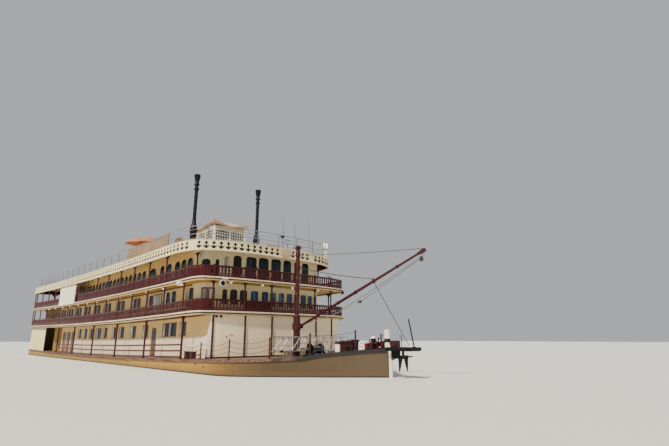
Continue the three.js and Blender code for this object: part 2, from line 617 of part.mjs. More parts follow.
function makeWindlass() {
  const barrel = { x: -0.85, z: deckTop + 0.42, radius: 0.24 };
  const ends = [0.42, 0.78].flatMap((y) => [y, -y]);
  return join([
    block([-2.1, -0.5], [-0.55, 0.55], [deckTop, deckTop + 0.1]),
    block([-2.05, -1.15], [-0.35, 0.35], [deckTop, deckTop + 0.66]),
    bar([barrel.x, -0.75, barrel.z], [barrel.x, 0.75, barrel.z], barrel.radius - 0.06, 10),
    ...ends.map((y) => bar([barrel.x, y - 0.03, barrel.z], [barrel.x, y + 0.03, barrel.z], barrel.radius, 10)),
    ...[-0.3, 0.3].map((y) => block([-1.2, -0.6], [y - 0.05, y + 0.05], [deckTop, deckTop + 0.6])),
  ]);
}
placeSheered('windlass', 'lockerRed', makeWindlass(), hullLine);

placeSheered('foredeck_locker', 'lockerRed', join([
  block([-5.1, -3.9], [0.45, 1.15], [deckTop, deckTop + 0.95]),
  block([-5.16, -3.84], [0.39, 1.21], [deckTop + 0.9, deckTop + 1.02]),
]), hullLine);

function makeWinch() {
  const drum = { x: -7.35, z: deckTop + 0.55, radius: 0.2 };
  const flanges = [-0.5, 0.5].map((y) => bar([drum.x, y - 0.03, drum.z], [drum.x, y + 0.03, drum.z], 0.38, 12));
  return join([
    block([-7.85, -6.85], [-0.75, 0.75], [deckTop, deckTop + 0.12]),
    bar([drum.x, -0.72, drum.z], [drum.x, 0.72, drum.z], drum.radius, 12),
    ...flanges,
    ...[-0.66, 0.66].map((y) => block([-7.6, -7.1], [y - 0.05, y + 0.05], [deckTop, deckTop + 0.95])),
    block([-7.8, -7.55], [-0.4, 0.4], [deckTop, deckTop + 0.5]),
  ]);
}
placeSheered('derrick_winch', 'black', makeWinch(), hullLine);

// The gangway lies athwartships on two bearers: two trusses, left and right of its tread
const gangway = { x: -8.6, half: 0.4, starboard: -2.8, port: 4.4, low: 1.44, high: 2.55, bays: 8 };
function makeGangway() {
  const { x, half, starboard, port, low, high, bays } = gangway;
  const pieces = [block([x - half, x + half], [starboard, port], [low, low + 0.05])];
  for (const side of [x - half, x + half]) {
    const thick = [side - 0.03, side + 0.03];
    pieces.push(block(thick, [starboard, port], [low, low + 0.09]));
    pieces.push(block(thick, [starboard, port], [high - 0.07, high]));
    for (let i = 0; i < bays; i++) {
      const [a, b] = [i, i + 1].map((step) => starboard + 0.05 + (port - starboard - 0.1) * step / bays);
      const ends = i % 2 ? [high - 0.03, low + 0.03] : [low + 0.03, high - 0.03];
      pieces.push(bar([side, a, ends[0]], [side, b, ends[1]], 0.028, 4));
    }
  }
  const foot = standing(mainDeck, x, half + 0.1);
  for (const y of [-1.6, 3]) pieces.push(block([x - half - 0.1, x + half + 0.1], [y - 0.09, y + 0.09], [foot, low + 0.02]));
  return join(pieces);
}
placeLevel('gangway', 'steel', makeGangway());

export default steamer;

steamer.scale.setScalar(modelMillimetres);
steamer.position.set(-originStation * modelMillimetres, 0, draught * modelMillimetres);
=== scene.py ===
import bisect
import math
import bmesh
import bpy
from mathutils import Matrix, Vector


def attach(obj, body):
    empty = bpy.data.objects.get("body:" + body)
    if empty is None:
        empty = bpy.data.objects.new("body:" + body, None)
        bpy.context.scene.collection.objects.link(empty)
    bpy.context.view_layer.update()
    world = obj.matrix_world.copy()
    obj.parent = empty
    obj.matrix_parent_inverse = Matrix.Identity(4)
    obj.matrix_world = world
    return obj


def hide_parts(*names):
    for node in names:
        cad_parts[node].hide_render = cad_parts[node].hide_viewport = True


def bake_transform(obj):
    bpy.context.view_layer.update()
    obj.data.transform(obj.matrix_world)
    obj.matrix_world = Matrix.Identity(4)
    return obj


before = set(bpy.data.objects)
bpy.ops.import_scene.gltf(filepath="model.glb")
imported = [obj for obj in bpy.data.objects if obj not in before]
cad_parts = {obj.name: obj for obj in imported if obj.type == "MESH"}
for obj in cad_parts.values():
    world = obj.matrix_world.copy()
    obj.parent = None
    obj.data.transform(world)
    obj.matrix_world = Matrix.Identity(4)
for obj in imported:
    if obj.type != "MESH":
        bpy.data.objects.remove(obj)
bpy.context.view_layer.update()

# Measures are metres of the full-size boat until finishPiece turns them into the model's
boat = {"stem": 32.0, "draught": 1.2, "scale": 0.5, "deckEnd": -64.3, "halfDeck": 7.8, "halfHouse": 6.3,
        "mainDeck": 0.64, "secondUnder": 3.907, "second": 4.05, "thirdUnder": 6.452, "third": 6.59,
        "roofUnder": 8.897, "roofPlate": 9.45, "roof": 9.6}
sheerLine = [[2.5, .806], [0, .712], [-8, .452], [-16, .251], [-27, .07], [-39, 0], [-50, .033], [-65, .191]]
deckFront = {"middle": -11.06, "sweep": .84, "half": 7.8, "corner": 7.15, "side": -13.15, "end": -14}
roofFront = {"middle": -12.04, "sweep": 2.28, "half": 7.8, "corner": 6.6, "side": -16.7}
houseFront = {"middle": -13.3, "sweep": .84, "half": 6.3, "corner": 5.6, "side": -15}
screenFront = {"middle": -11.3, "sweep": .84, "half": 7.6, "corner": 6.72, "side": -13.3}
runOn = 0.3  # the bowed fronts run on this far along the sides
sides = (("starboard", -1), ("port", 1))


def rise(x, line=sheerLine):
    if x >= line[0][0]:
        return line[0][1]
    for (x0, z0), (x1, z1) in zip(line, line[1:]):
        if x >= x1:
            return z0 + (z1 - z0) * (x - x0) / (x1 - x0)
    return line[-1][1]


# toward the bow the foredeck rises more than the sheer
foredeckLift = ((2.5, .72), (0, .46), (-1.3, .4), (-3.1, .23), (-4, .04), (-6, 0))
hullLine = [[x, rise(x) + extra] for x, extra in foredeckLift] + sheerLine[2:]


def toModel(x, y, z):
    return Vector(((x + boat["stem"]) * boat["scale"], y * boat["scale"], (z + boat["draught"]) * boat["scale"]))


def addObject(name, data):
    made = bpy.data.objects.new(name, data)
    bpy.context.scene.collection.objects.link(made)
    return made


# camera, floor and light
camera = {"place": (26.0115, -12.0065, 1.830), "tilt": 103.938, "turn": 46.416, "lens": 24.93}
cameraData = bpy.data.cameras.new("camera")
cameraData.lens, cameraData.sensor_width, cameraData.clip_end = camera["lens"], 36, 500
cameraObject = addObject("camera", cameraData)
cameraObject.location = camera["place"]
cameraObject.rotation_euler = (math.radians(camera["tilt"]), 0, math.radians(camera["turn"]))
bpy.context.scene.camera = cameraObject

light = {"key": 5.9, "keyColour": (1, .91, .76), "keyFrom": (.16, -.64, .72), "keySize": 4, "fill": .55,
         "sky": (.86, .88, .92, 1)}
keyData = bpy.data.lights.new("key", "SUN")
keyData.energy, keyData.color, keyData.angle = light["key"], light["keyColour"], math.radians(light["keySize"])
addObject("key", keyData).rotation_euler = Vector(light["keyFrom"]).to_track_quat("Z", "Y").to_euler()
world = bpy.data.worlds.new("studio")
bpy.context.scene.world = world
world.use_nodes = True
world.node_tree.nodes["Background"].inputs["Color"].default_value = light["sky"]
world.node_tree.nodes["Background"].inputs["Strength"].default_value = light["fill"]


# materials
def srgb(r, g, b):
    return tuple((c / 255 / 12.92 if c <= 10 else ((c / 255 + .055) / 1.055) ** 2.4) for c in (r, g, b)) + (1,)


class Sheet:
    # lays out one node tree, a material's or a group's
    def __init__(self, tree):
        self.tree = tree

    def node(self, kind, *values, **settings):
        made = self.tree.nodes.new("ShaderNode" + kind)
        for key, value in settings.items():
            setattr(made, key, value)
        for socket, value in zip(made.inputs, values):
            self.feed(socket, value)
        return made

    def feed(self, socket, value):
        if isinstance(value, bpy.types.NodeSocket):
            self.tree.links.new(value, socket)
        else:
            socket.default_value = value

    def math(self, kind, *values, clamp=False):
        return self.node("Math", *values, operation=kind, use_clamp=clamp).outputs[0]

    def add(self, a, b, clamp=False):
        return self.math("ADD", a, b, clamp=clamp)

    def times(self, a, b, clamp=False):
        return self.math("MULTIPLY", a, b, clamp=clamp)

    def mix(self, part, a, b):
        made = self.node("Mix", part, data_type="RGBA")
        self.feed(made.inputs[6], a)
        self.feed(made.inputs[7], b)
        return made.outputs[2]

    def ramp(self, value, low, high, a=0.0, b=1.0):
        return self.node("MapRange", value, low, high, a, b, interpolation_type="SMOOTHSTEP").outputs[0]

    def place(self):
        return self.node("TexCoord").outputs["Object"]

    def split(self, vector):
        return self.node("SeparateXYZ", vector).outputs

    def facing(self):
        return self.split(self.node("NewGeometry").outputs["True Normal"])["Z"]

    def noise(self, scale, detail=3, rough=.55, stretch=(1, 1, 1)):
        mapping = self.node("Mapping", self.place())
        mapping.inputs["Scale"].default_value = stretch
        made = self.node("TexNoise", mapping.outputs[0])
        for label, value in {"Scale": scale, "Detail": detail, "Roughness": rough}.items():
            self.feed(made.inputs[label], value)
        return made.outputs["Fac"]

    def direction(self, axis, spacing):
        # distance along an axis, in spacings
        dot = self.node("VectorMath", self.place(), axis, operation="DOT_PRODUCT")
        return self.math("DIVIDE", dot.outputs["Value"], spacing)

    def group(self, group, **values):
        made = self.node("Group", node_tree=group)
        for label, value in values.items():
            self.feed(made.inputs[label], value)
        return made.outputs


class Finish(Sheet):
    # one material's own tree
    def __init__(self, name):
        self.material = bpy.data.materials.new(name)
        self.material.use_nodes = True
        super().__init__(self.material.node_tree)
        self.shader = self.tree.nodes["Principled BSDF"].inputs

    def done(self, colour, rough, height, depth, **plain):
        # colour, roughness and bump of the surface, and plain values of the shader's other sockets
        self.feed(self.shader["Base Color"], colour)
        self.feed(self.shader["Roughness"], rough)
        for label, value in plain.items():
            self.shader[label.replace("_", " ")].default_value = value
        made = self.node("Bump")
        made.inputs["Distance"].default_value = depth
        self.feed(made.inputs["Height"], height)
        self.feed(self.shader["Normal"], made.outputs["Normal"])
        return self.material


def startGroup(name, inputs, outputs):
    # an input is a colour where its value has four numbers, and a vector where it has three
    group = bpy.data.node_groups.new(name, "ShaderNodeTree")
    for label, value in inputs.items():
        kind = "Float" if isinstance(value, float) else {3: "Vector", 4: "Color"}[len(value)]
        socket = group.interface.new_socket(label, in_out="INPUT", socket_type="NodeSocket" + kind)
        socket.default_value = value
    for label in outputs:
        kind = "Color" if label == "Colour" else "Float"
        group.interface.new_socket(label, in_out="OUTPUT", socket_type="NodeSocket" + kind)
    return group, Sheet(group), group.nodes.new("NodeGroupInput").outputs, group.nodes.new("NodeGroupOutput").inputs


def makeWeather():
    # paint that has aged outdoors: soft blotches, rain streaks, fine speckle
    group, sheet, given, out = startGroup("weather", {
        "Colour": (.8, .8, .8, 1), "Dirt": (.2, .15, .1, 1), "Amount": .3, "Scale": 1.0, "Streaks": .4,
        "Roughness": .5}, ("Colour", "Roughness", "Height"))
    blotch = sheet.ramp(sheet.noise(sheet.times(given["Scale"], .6), 5), .42, .75)
    streak = sheet.ramp(sheet.noise(sheet.times(given["Scale"], 5), 4, .6, (1, 1, .07)), .5, .8)
    speck = sheet.noise(sheet.times(given["Scale"], 30), 4, .65)
    worn = sheet.add(sheet.times(blotch, .55), sheet.times(streak, given["Streaks"]))
    worn = sheet.add(worn, sheet.times(sheet.ramp(speck, .55, .75), .25))
    worn = sheet.times(worn, given["Amount"], clamp=True)
    sheet.feed(out["Colour"], sheet.mix(worn, given["Colour"], given["Dirt"]))
    rough = sheet.add(given["Roughness"], sheet.times(worn, .45))
    sheet.feed(out["Roughness"], sheet.add(rough, sheet.times(speck, .08), clamp=True))
    sheet.feed(out["Height"], sheet.add(sheet.times(speck, .3), sheet.times(blotch, .7)))
    return group


def makeSeams():
    # boards or plates side by side: a dark line between them and a tone for each
    group, sheet, given, out = startGroup("seams", {"Axis": (1, 0, 0), "Spacing": .1, "Line": .04},
                                          ("Mask", "Tone", "Height"))
    along = sheet.direction(given["Axis"], given["Spacing"])
    part = sheet.math("FRACT", along)
    nearest = sheet.math("MINIMUM", part, sheet.math("SUBTRACT", 1, part))
    mask = sheet.math("SUBTRACT", 1, sheet.ramp(nearest, sheet.times(given["Line"], .35), given["Line"]))
    pick = sheet.node("TexWhiteNoise", noise_dimensions="1D")
    sheet.feed(pick.inputs["W"], sheet.math("FLOOR", along))
    sheet.feed(out["Mask"], mask)
    sheet.feed(out["Tone"], pick.outputs["Value"])
    sheet.feed(out["Height"], sheet.math("SUBTRACT", 1, mask))
    return group


def makeGrain():
    # timber grain that runs along one axis
    group, sheet, given, out = startGroup("grain", {
        "Light": (.5, .3, .2, 1), "Dark": (.2, .1, .05, 1), "Stretch": (.08, 1, 1), "Scale": 20.0},
        ("Colour", "Height"))
    scaled = sheet.node("VectorMath", sheet.place(), given["Stretch"], operation="MULTIPLY")
    fibre = sheet.node("TexNoise", scaled.outputs[0])
    sheet.feed(fibre.inputs["Scale"], given["Scale"])
    fibre.inputs["Detail"].default_value, fibre.inputs["Distortion"].default_value = 6, .4
    sheet.feed(out["Colour"], sheet.mix(sheet.ramp(fibre.outputs["Fac"], .3, .7), given["Dark"], given["Light"]))
    sheet.feed(out["Height"], fibre.outputs["Fac"])
    return group


def makeWeave():
    # plain weave of the canvas and the parasols
    group, sheet, given, out = startGroup("weave", {
        "Colour": (.6, .5, .4, 1), "Thread": (.4, .3, .2, 1), "Size": .006}, ("Colour", "Height"))
    waves = [sheet.math("ABSOLUTE", sheet.math("SINE", sheet.times(sheet.direction(axis, given["Size"]), 2 * math.pi)))
             for axis in ((1, .3, 0), (0, .3, 1))]
    both = sheet.math("MAXIMUM", *waves)
    fade = sheet.ramp(sheet.noise(2.2, 4), .35, .7)
    tone = sheet.add(sheet.times(both, .3), sheet.times(fade, .55), clamp=True)
    sheet.feed(out["Colour"], sheet.mix(tone, given["Thread"], given["Colour"]))
    sheet.feed(out["Height"], both)
    return group


weatherGroup, seamsGroup, grainGroup, weaveGroup = makeWeather(), makeSeams(), makeGrain(), makeWeave()


def paint(name, colour, dirt, amount=.3, scale=1.0, streaks=.5, rough=.45, metal=0.0, coat=0.0, depth=.002,
          seams=None, under=None, top=None, shine=.5):
    # weathered paint; seams draws boards, under and top repaint the faces that look down and up
    sheet = Finish(name)
    base = srgb(*colour)
    if under or top:
        facing = sheet.facing()
        for other, sign in ((under, -1), (top, 1)):
            if other:
                base = sheet.mix(sheet.ramp(sheet.times(facing, sign), .6, .8), base, srgb(*other))
    aged = sheet.group(weatherGroup, Colour=base, Dirt=srgb(*dirt), Amount=amount, Scale=scale, Streaks=streaks,
                       Roughness=rough)
    shown, height = aged["Colour"], aged["Height"]
    if seams:
        axis, spacing, line, dark = seams
        boards = sheet.group(seamsGroup, Axis=axis, Spacing=spacing, Line=line)
        toned = sheet.mix(sheet.times(boards["Tone"], .12), shown, srgb(*dirt))
        shown = sheet.mix(sheet.times(boards["Mask"], dark), toned, srgb(*[c * .35 for c in colour]))
        height = sheet.add(sheet.times(height, .3), boards["Height"])
    return sheet.done(shown, aged["Roughness"], height, depth, Metallic=metal, Coat_Weight=coat,
                      Specular_IOR_Level=shine)


def timber(name, light, dark, stretch, rough=.6, scale=20, coat=0.0):
    sheet = Finish(name)
    wood = sheet.group(grainGroup, Light=srgb(*light), Dark=srgb(*dark), Stretch=stretch, Scale=scale)
    aged = sheet.group(weatherGroup, Colour=wood["Colour"], Dirt=srgb(*[c * .4 for c in dark]), Amount=.45,
                       Scale=1.6, Streaks=.3, Roughness=rough)
    return sheet.done(aged["Colour"], aged["Roughness"], wood["Height"], .003, Coat_Weight=coat)


def fabric(name, colour, thread, size):
    sheet = Finish(name)
    cloth = sheet.group(weaveGroup, Colour=srgb(*colour), Thread=srgb(*thread), Size=size)
    return sheet.done(cloth["Colour"], .85, cloth["Height"], .0012, Sheen_Weight=.3)


def hullPaint():
    # tan plates, darker and greyer toward the bow and stem, partly their paint and partly painted shade on the flaring
    # bow; a black boot top at the waterline and a red-brown deck
    sheet = Finish("hull_paint")
    place = sheet.split(sheet.place())
    rust = sheet.ramp(sheet.noise(3.2, 6, .65, (1, 1, .16)), .56, .72)
    nearWater = sheet.ramp(place["Z"], .64, .86, 1.0, 0.0)
    boot = sheet.add(place["Z"], sheet.times(sheet.noise(7, 4), .02))
    base = srgb(166, 128, 46)
    # the first two tones: painted shade darkening the bow and stem, partly the plates' own paint
    for part, colour in ((sheet.ramp(place["X"], 9.5, 13.5), (68, 53, 24)),
                         (sheet.ramp(place["X"], 13.6, 16), (80, 68, 48)),
                         (sheet.times(nearWater, .55), (92, 66, 34)), (sheet.times(rust, .4), (128, 72, 40)),
                         (sheet.ramp(boot, .655, .66, 1.0, 0.0), (34, 32, 30)),
                         (sheet.ramp(sheet.facing(), .6, .8), (112, 84, 66))):
        base = sheet.mix(part, base, srgb(*colour))
    aged = sheet.group(weatherGroup, Colour=base, Dirt=srgb(84, 66, 48), Amount=.4, Scale=1.1, Streaks=.7, Roughness=.5)
    plates = sheet.group(seamsGroup, Axis=(1, 0, 0), Spacing=1.5, Line=.006)
    shown = sheet.mix(sheet.times(plates["Mask"], .4), aged["Colour"], srgb(70, 52, 36))
    return sheet.done(shown, aged["Roughness"], sheet.add(sheet.times(aged["Height"], .5), plates["Height"]), .003)


def strakePaint():
    # weathered timber, tarred black toward the bow
    sheet = Finish("strake_timber")
    wood = sheet.group(grainGroup, Light=srgb(126, 92, 74), Dark=srgb(54, 36, 30), Stretch=(.06, 1, 1.4), Scale=20)
    edge = sheet.add(sheet.split(sheet.place())["X"], sheet.times(sheet.noise(1.4, 4), 3.2))
    base = sheet.mix(sheet.ramp(edge, 14.6, 15.4), wood["Colour"], srgb(20, 18, 22))
    aged = sheet.group(weatherGroup, Colour=base, Dirt=srgb(40, 30, 26), Amount=.45, Scale=1.6, Streaks=.3,
                       Roughness=.6)
    return sheet.done(aged["Colour"], aged["Roughness"], wood["Height"], .003)


def glassPaint(name, colour, rough=.14):
    # dark panes: a shaded room behind glass, with faint curtains
    sheet = Finish(name)
    folds = sheet.ramp(sheet.noise(4.2, 3, .6, (1, 1, .25)), .45, .7)
    shown = sheet.mix(sheet.times(folds, .6), srgb(*colour), srgb(*[min(c * 2.1 + 14, 255) for c in colour]))
    return sheet.done(shown, sheet.add(sheet.times(sheet.noise(9, 2), .1), rough), sheet.noise(3, 2), .002,
                      Specular_IOR_Level=.3)


def bareMetal(name, colour, rough, scale=8):
    sheet = Finish(name)
    fine = sheet.noise(scale, 5, .6, (1, 1, .2))
    shown = sheet.mix(sheet.ramp(fine, .35, .7), srgb(*colour), srgb(*[c * .72 for c in colour]))
    return sheet.done(shown, sheet.add(sheet.times(fine, .2), rough), fine, .0008, Metallic=1.0)


def lampGlow(name, colour, strength):
    sheet = Finish(name)
    tint = sheet.mix(sheet.noise(30, 2), srgb(*colour), (1, 1, 1, 1))
    sheet.feed(sheet.shader["Base Color"], tint)
    sheet.feed(sheet.shader["Emission Color"], tint)
    sheet.shader["Emission Strength"].default_value = strength
    sheet.shader["Roughness"].default_value = .25
    return sheet.material


mats = {
    "hull": hullPaint(),
    "cream": paint("cream_paint", (238, 222, 178), (140, 108, 62), .28, 1.0, .7, .42),
    "panel": paint("cream_panel", (254, 236, 196), (166, 126, 84), .26, .9, .8, .42),
    # walls under the decks: a deeper, yellower cream than the fronts, partly their paint and partly painted shade
    "warm": paint("warm_cream_and_shade", (230, 198, 128), (108, 80, 38), .36, 1.0, .6, .45,
                  seams=((1, 0, 0), .305, .02, .45)),
    "white": paint("white_paint", (242, 238, 226), (150, 126, 98), .25, 1.2, .6, .4),
    "maroon": paint("maroon_paint", (64, 8, 11), (28, 9, 9), .45, 2.0, .5, .38, coat=.1, shine=.35),
    "mast": paint("mast_red", (60, 9, 20), (28, 9, 14), .35, 1.6, .5, .36, coat=.15, shine=.35),
    "black": paint("black_paint", (7, 8, 13), (30, 26, 24), .3, 1.8, .6, .45, shine=.25),
    "beige": paint("beige_paint", (196, 172, 144), (120, 96, 72), .3, 1.4, .4, .5),
    "grey": paint("rail_grey", (128, 131, 136), (84, 76, 68), .25, 2.5, .4, .4, metal=.2),
    # faces that look down take a deeper ochre: painted shade under the decks
    "deck": paint("deck_white", (228, 222, 204), (110, 90, 66), .35, 1.0, .4, .5,
                  seams=((0, 1, 0), .11, .05, .5), under=(206, 164, 70), top=(126, 116, 100)),
    # faces that look down take the same ochre: painted shade under the roof
    "roof": paint("roof_cream", (240, 226, 186), (132, 104, 68), .25, .9, .5, .45,
                  under=(206, 166, 74), top=(196, 190, 176)),
    "locker": paint("locker_red", (54, 11, 14), (30, 18, 16), .45, 2.5, .5, .5, shine=.35),
    "machine": paint("machine_green", (66, 88, 74), (34, 30, 24), .4, 2.0, .5, .4, metal=.3),
    "wheel": paint("wheel_red", (140, 32, 26), (60, 40, 30), .5, 1.6, .6, .45),
    "boxRed": paint("box_red", (128, 34, 22), (60, 24, 18), .35, 2.5, .5, .5, shine=.35),
    "edge": paint("edge_white", (224, 208, 182), (120, 92, 68), .4, 1.6, .6, .45),
    "rust": paint("rust", (196, 140, 112), (168, 104, 78), .5, 4.0, .3, .8),
    "frame": paint("frame_brown", (104, 70, 48), (60, 40, 28), .35, 2.5, .4, .5),
    "tan": paint("canopy_tan", (180, 138, 92), (100, 74, 50), .3, 1.4, .4, .6),
    "crate": timber("crate_timber", (206, 118, 56), (112, 56, 24), (1, .07, 1), .7),
    "strake": strakePaint(),
    "door": timber("door_brown", (112, 58, 32), (52, 24, 14), (1, 1, .08), .35, 26, .4),
    "plank": timber("plank_grey", (150, 132, 110), (88, 72, 58), (1, .07, 1), .7),
    "glass": glassPaint("glass_dark", (22, 28, 40)),
    "glassBlue": glassPaint("glass_blue", (48, 66, 88)),
    "glassOlive": glassPaint("glass_olive", (30, 30, 18)),
    "curtain": glassPaint("glass_curtain", (146, 146, 138), .25),
    "shade": paint("shade_black", (18, 16, 14), (44, 36, 28), .3, 2.0, .3, .7),
    "steel": bareMetal("turned_steel", (168, 170, 172), .28),
    "aluminium": bareMetal("aluminium", (206, 208, 210), .34, 14),
    "chain": bareMetal("chain_steel", (96, 92, 88), .45, 20),
    "brass": bareMetal("lamp_brass", (190, 150, 80), .3),
    "canvas": fabric("canvas_tan", (146, 112, 74), (92, 66, 42), .012),
    "orange": fabric("parasol_orange", (214, 122, 34), (150, 80, 20), .01),
    "rope": fabric("rope_pale", (196, 184, 160), (122, 108, 88), .008),
    "lamp": lampGlow("lamp_glow", (255, 236, 190), 1.2),
}
print("materials ready")

# floor at the waterline
floor = {"half": 160, "level": 0.6}
floorMesh = bpy.data.meshes.new("studio_floor")
bm = bmesh.new()
bmesh.ops.create_grid(bm, x_segments=2, y_segments=2, size=floor["half"])
bmesh.ops.translate(bm, vec=(0, 0, floor["level"]), verts=bm.verts)
bm.to_mesh(floorMesh)
bm.free()
floorMesh.materials.append(paint("studio_floor", (226, 226, 222), (206, 206, 202), .2, .1, 0, .55, depth=0))
floorObject = addObject("studio_floor", floorMesh)


# shapes
def pull(bm, faces, vec):
    # extrudes faces and moves what that makes
    made = bmesh.ops.extrude_face_region(bm, geom=faces)["geom"]
    bmesh.ops.translate(bm, vec=vec, verts=[item for item in made if isinstance(item, bmesh.types.BMVert)])
    return [item for item in made if isinstance(item, bmesh.types.BMFace)]


def faceOut(bm):
    bmesh.ops.recalc_face_normals(bm, faces=bm.faces)


def fillLoops(part, loops, d=0.0):
    # a flat sheet in the plane of s and z; loops after the first are its holes
    edges = []
    for loop in loops:
        verts = [part.verts.new((s, d, z)) for s, z in loop]
        edges += [part.edges.new(pair) for pair in zip(verts, verts[1:] + verts[:1])]
    bmesh.ops.triangle_fill(part, use_beauty=True, edges=edges)


def absorb(bm, part, finish=0, matrix=None):
    # adds a finished shape to a piece
    if finish is not None:
        for face in part.faces:
            face.material_index = finish
    if matrix is not None:
        bmesh.ops.transform(part, matrix=matrix, verts=part.verts)
    mesh = toMesh(part)
    bm.from_mesh(mesh)
    bpy.data.meshes.remove(mesh)


def toMesh(part):
    mesh = bpy.data.meshes.new("part")
    part.to_mesh(mesh)
    part.free()
    return mesh


def stamp(bm, mesh, place=(0, 0, 0), size=(1, 1, 1), turn=0.0):
    first = len(bm.verts)
    bm.from_mesh(mesh)
    bm.verts.ensure_lookup_table()
    matrix = Matrix.Translation(place) @ Matrix.Rotation(turn, 4, "Z") @ Matrix.Diagonal((*size, 1))
    for vert in bm.verts[first:]:
        vert.co = matrix @ vert.co


def fit(bm, unit, s):
    # sets a window or door into a flat wall, s along it
    stamp(bm, unit, (s, 0, 0))
    bpy.data.meshes.remove(unit)


def circle(count, radius=1.0, first=0.0):
    turns = [math.radians(first + 360 * i / count) for i in range(count)]
    return [(radius * math.cos(turn), radius * math.sin(turn)) for turn in turns]


def sagging(a, b, sag, count=8):
    # points of a line that hangs a little between its ends
    a, b = Vector(a), Vector(b)
    shares = [i / count for i in range(count + 1)]
    return [a.lerp(b, t) - Vector((0, 0, sag * 4 * t * (1 - t))) for t in shares]


def box(bm, x, y, z, finish=0, edge=0.0):
    part = bmesh.new()
    middle = [(a + b) / 2 for a, b in (x, y, z)]
    size = [abs(b - a) for a, b in (x, y, z)]
    bmesh.ops.create_cube(part, size=1, matrix=Matrix.Translation(middle) @ Matrix.Diagonal((*size, 1)))
    if edge:
        bmesh.ops.bevel(part, geom=part.edges[:], offset=edge, affect="EDGES", segments=1, profile=.5, material=-1)
    absorb(bm, part, finish)


def post(bm, x, y, half, z, finish=0, edge=0.0):
    # a box about x and y; half is one number, or one for each
    halfX, halfY = half if isinstance(half, tuple) else (half, half)
    box(bm, (x - halfX, x + halfX), (y - halfY, y + halfY), z, finish, edge)


def rod(bm, start, end, radius, sides=8, endRadius=None, finish=0):
    start, run = Vector(start), Vector(end) - Vector(start)
    part = bmesh.new()
    bmesh.ops.create_cone(part, cap_ends=True, segments=sides, radius1=radius,
                          radius2=radius if endRadius is None else endRadius, depth=run.length)
    turn = run.to_track_quat("Z", "Y").to_matrix().to_4x4()
    absorb(bm, part, finish, Matrix.Translation(start + run / 2) @ turn)


def rods(bm, points, radius, sides=6, finish=0):
    for a, b in zip(points, points[1:]):
        rod(bm, a, b, radius, sides, finish=finish)


def ball(bm, place, radius, finish=0, detail=2, size=(1, 1, 1)):
    part = bmesh.new()
    bmesh.ops.create_icosphere(part, subdivisions=detail, radius=radius)
    absorb(bm, part, finish, Matrix.Translation(place) @ Matrix.Diagonal((*size, 1)))


def lathe(bm, place, profile, sides=24, finish=0, axis="Z"):
    # profile: radius and height pairs, turned about the axis through place
    part = bmesh.new()
    verts = [part.verts.new((radius, 0, height)) for radius, height in profile]
    edges = [part.edges.new(pair) for pair in zip(verts, verts[1:])]
    bmesh.ops.spin(part, geom=verts + edges, cent=(0, 0, 0), axis=(0, 0, 1), angle=2 * math.pi, steps=sides,
                   use_merge=True)
    bmesh.ops.remove_doubles(part, verts=part.verts, dist=1e-5)
    faceOut(part)
    turn = {"Z": Matrix(), "Y": Matrix.Rotation(-math.pi / 2, 4, "X"), "X": Matrix.Rotation(math.pi / 2, 4, "Y")}[axis]
    absorb(bm, part, finish, Matrix.Translation(place) @ turn)


def tube(bm, place, inner, outer, low, high, sides=24, finish=0, axis="Z"):
    # a ring, or a disc where inner is 0
    profile = [(inner, low), (outer, low), (outer, high), (inner, high)]
    lathe(bm, place, profile + profile[:1] if inner else profile, sides, finish, axis)


def flange(bm, place, outer, thick, inner, high, sides=16, finish=0):
    # the foot of a post: a disc that tapers into a neck
    lathe(bm, place, [(0, 0), (outer, 0), (outer, thick), (inner, high), (0, high)], sides, finish)


def band(bm, place, inner, radius, half, crown, sides=24):
    # a hoop with a crowned face
    lathe(bm, place, [(inner, -half), (radius, -half), (radius + crown, 0), (radius, half), (inner, half)], sides)


def cutBoard(bm, outline, depth, holes=(), finish=0):
    # a board in the plane of s and z, from depth[0] to depth[1] outboard, with holes through it
    part = bmesh.new()
    fillLoops(part, [outline, *holes], depth[1])
    pull(part, part.faces[:], (0, depth[0] - depth[1], 0))
    faceOut(part)
    absorb(bm, part, finish)


def sweep(bm, profile, stations, finish=0):
    # a moulding: its section of d and z pairs, carried along the stations
    part = bmesh.new()
    front = part.faces.new([part.verts.new((stations[0], d, z)) for d, z in profile])
    for start, end in zip(stations, stations[1:]):
        front = pull(part, [front], (end - start, 0, 0))[0]
    faceOut(part)
    absorb(bm, part, finish)


def strip(bm, stations, d, z, finish=0):
    # a moulding of square section
    sweep(bm, [(d[0], z[0]), (d[1], z[0]), (d[1], z[1]), (d[0], z[1])], stations, finish)


# paths in plan: flat shapes are laid along them
def frontX(front, y):
    share = y / front["half"]
    return front["middle"] - front["sweep"] * (.35 * share ** 2 + .65 * share ** 6)


def frontCurve(front, fine=True):
    half, corner, side = front["half"], front["corner"], front["side"]
    bow = frontX(front, corner)
    shares = [i / 14 for i in range(1, 15)] if fine else [.3, .6, .82, 1]
    port = [(frontX(front, corner * share), corner * share) for share in shares]
    for degrees in range(9, 91, 9) if fine else (30, 60, 90):
        turn = math.radians(degrees)
        port.append((side + (bow - side) * math.cos(turn), corner + (half - corner) * math.sin(turn)))
    port.append((front.get("end", side - runOn), half))
    return [(x, -y) for x, y in reversed(port)] + [(front["middle"], 0)] + port


def makePath(points):
    # points in plan, outboard on the right; each has its distance and its offset direction
    points = [Vector(point) for point in points]
    lengths, runs = [0], []
    for a, b in zip(points, points[1:]):
        lengths.append(lengths[-1] + (b - a).length)
        run = (b - a).normalized()
        runs.append(Vector((run.y, -run.x)))
    miters = [(before + after) / (1 + before.dot(after)) for before, after in zip(runs[:1] + runs, runs + runs[-1:])]
    return {"points": points, "lengths": lengths, "miters": miters, "end": lengths[-1]}


def along(path, x, y):
    # distance along the path of the place nearest to x, y
    best = None
    target = Vector((x, y))
    for i, (a, b) in enumerate(zip(path["points"], path["points"][1:])):
        part = max(0, min(1, (target - a).dot(b - a) / (b - a).length_squared))
        far = (a.lerp(b, part) - target).length
        if best is None or far < best[0]:
            best = (far, path["lengths"][i] + (b - a).length * part)
    return best[1]


def alongFront(path, front, y):
    return along(path, frontX(front, y), y)


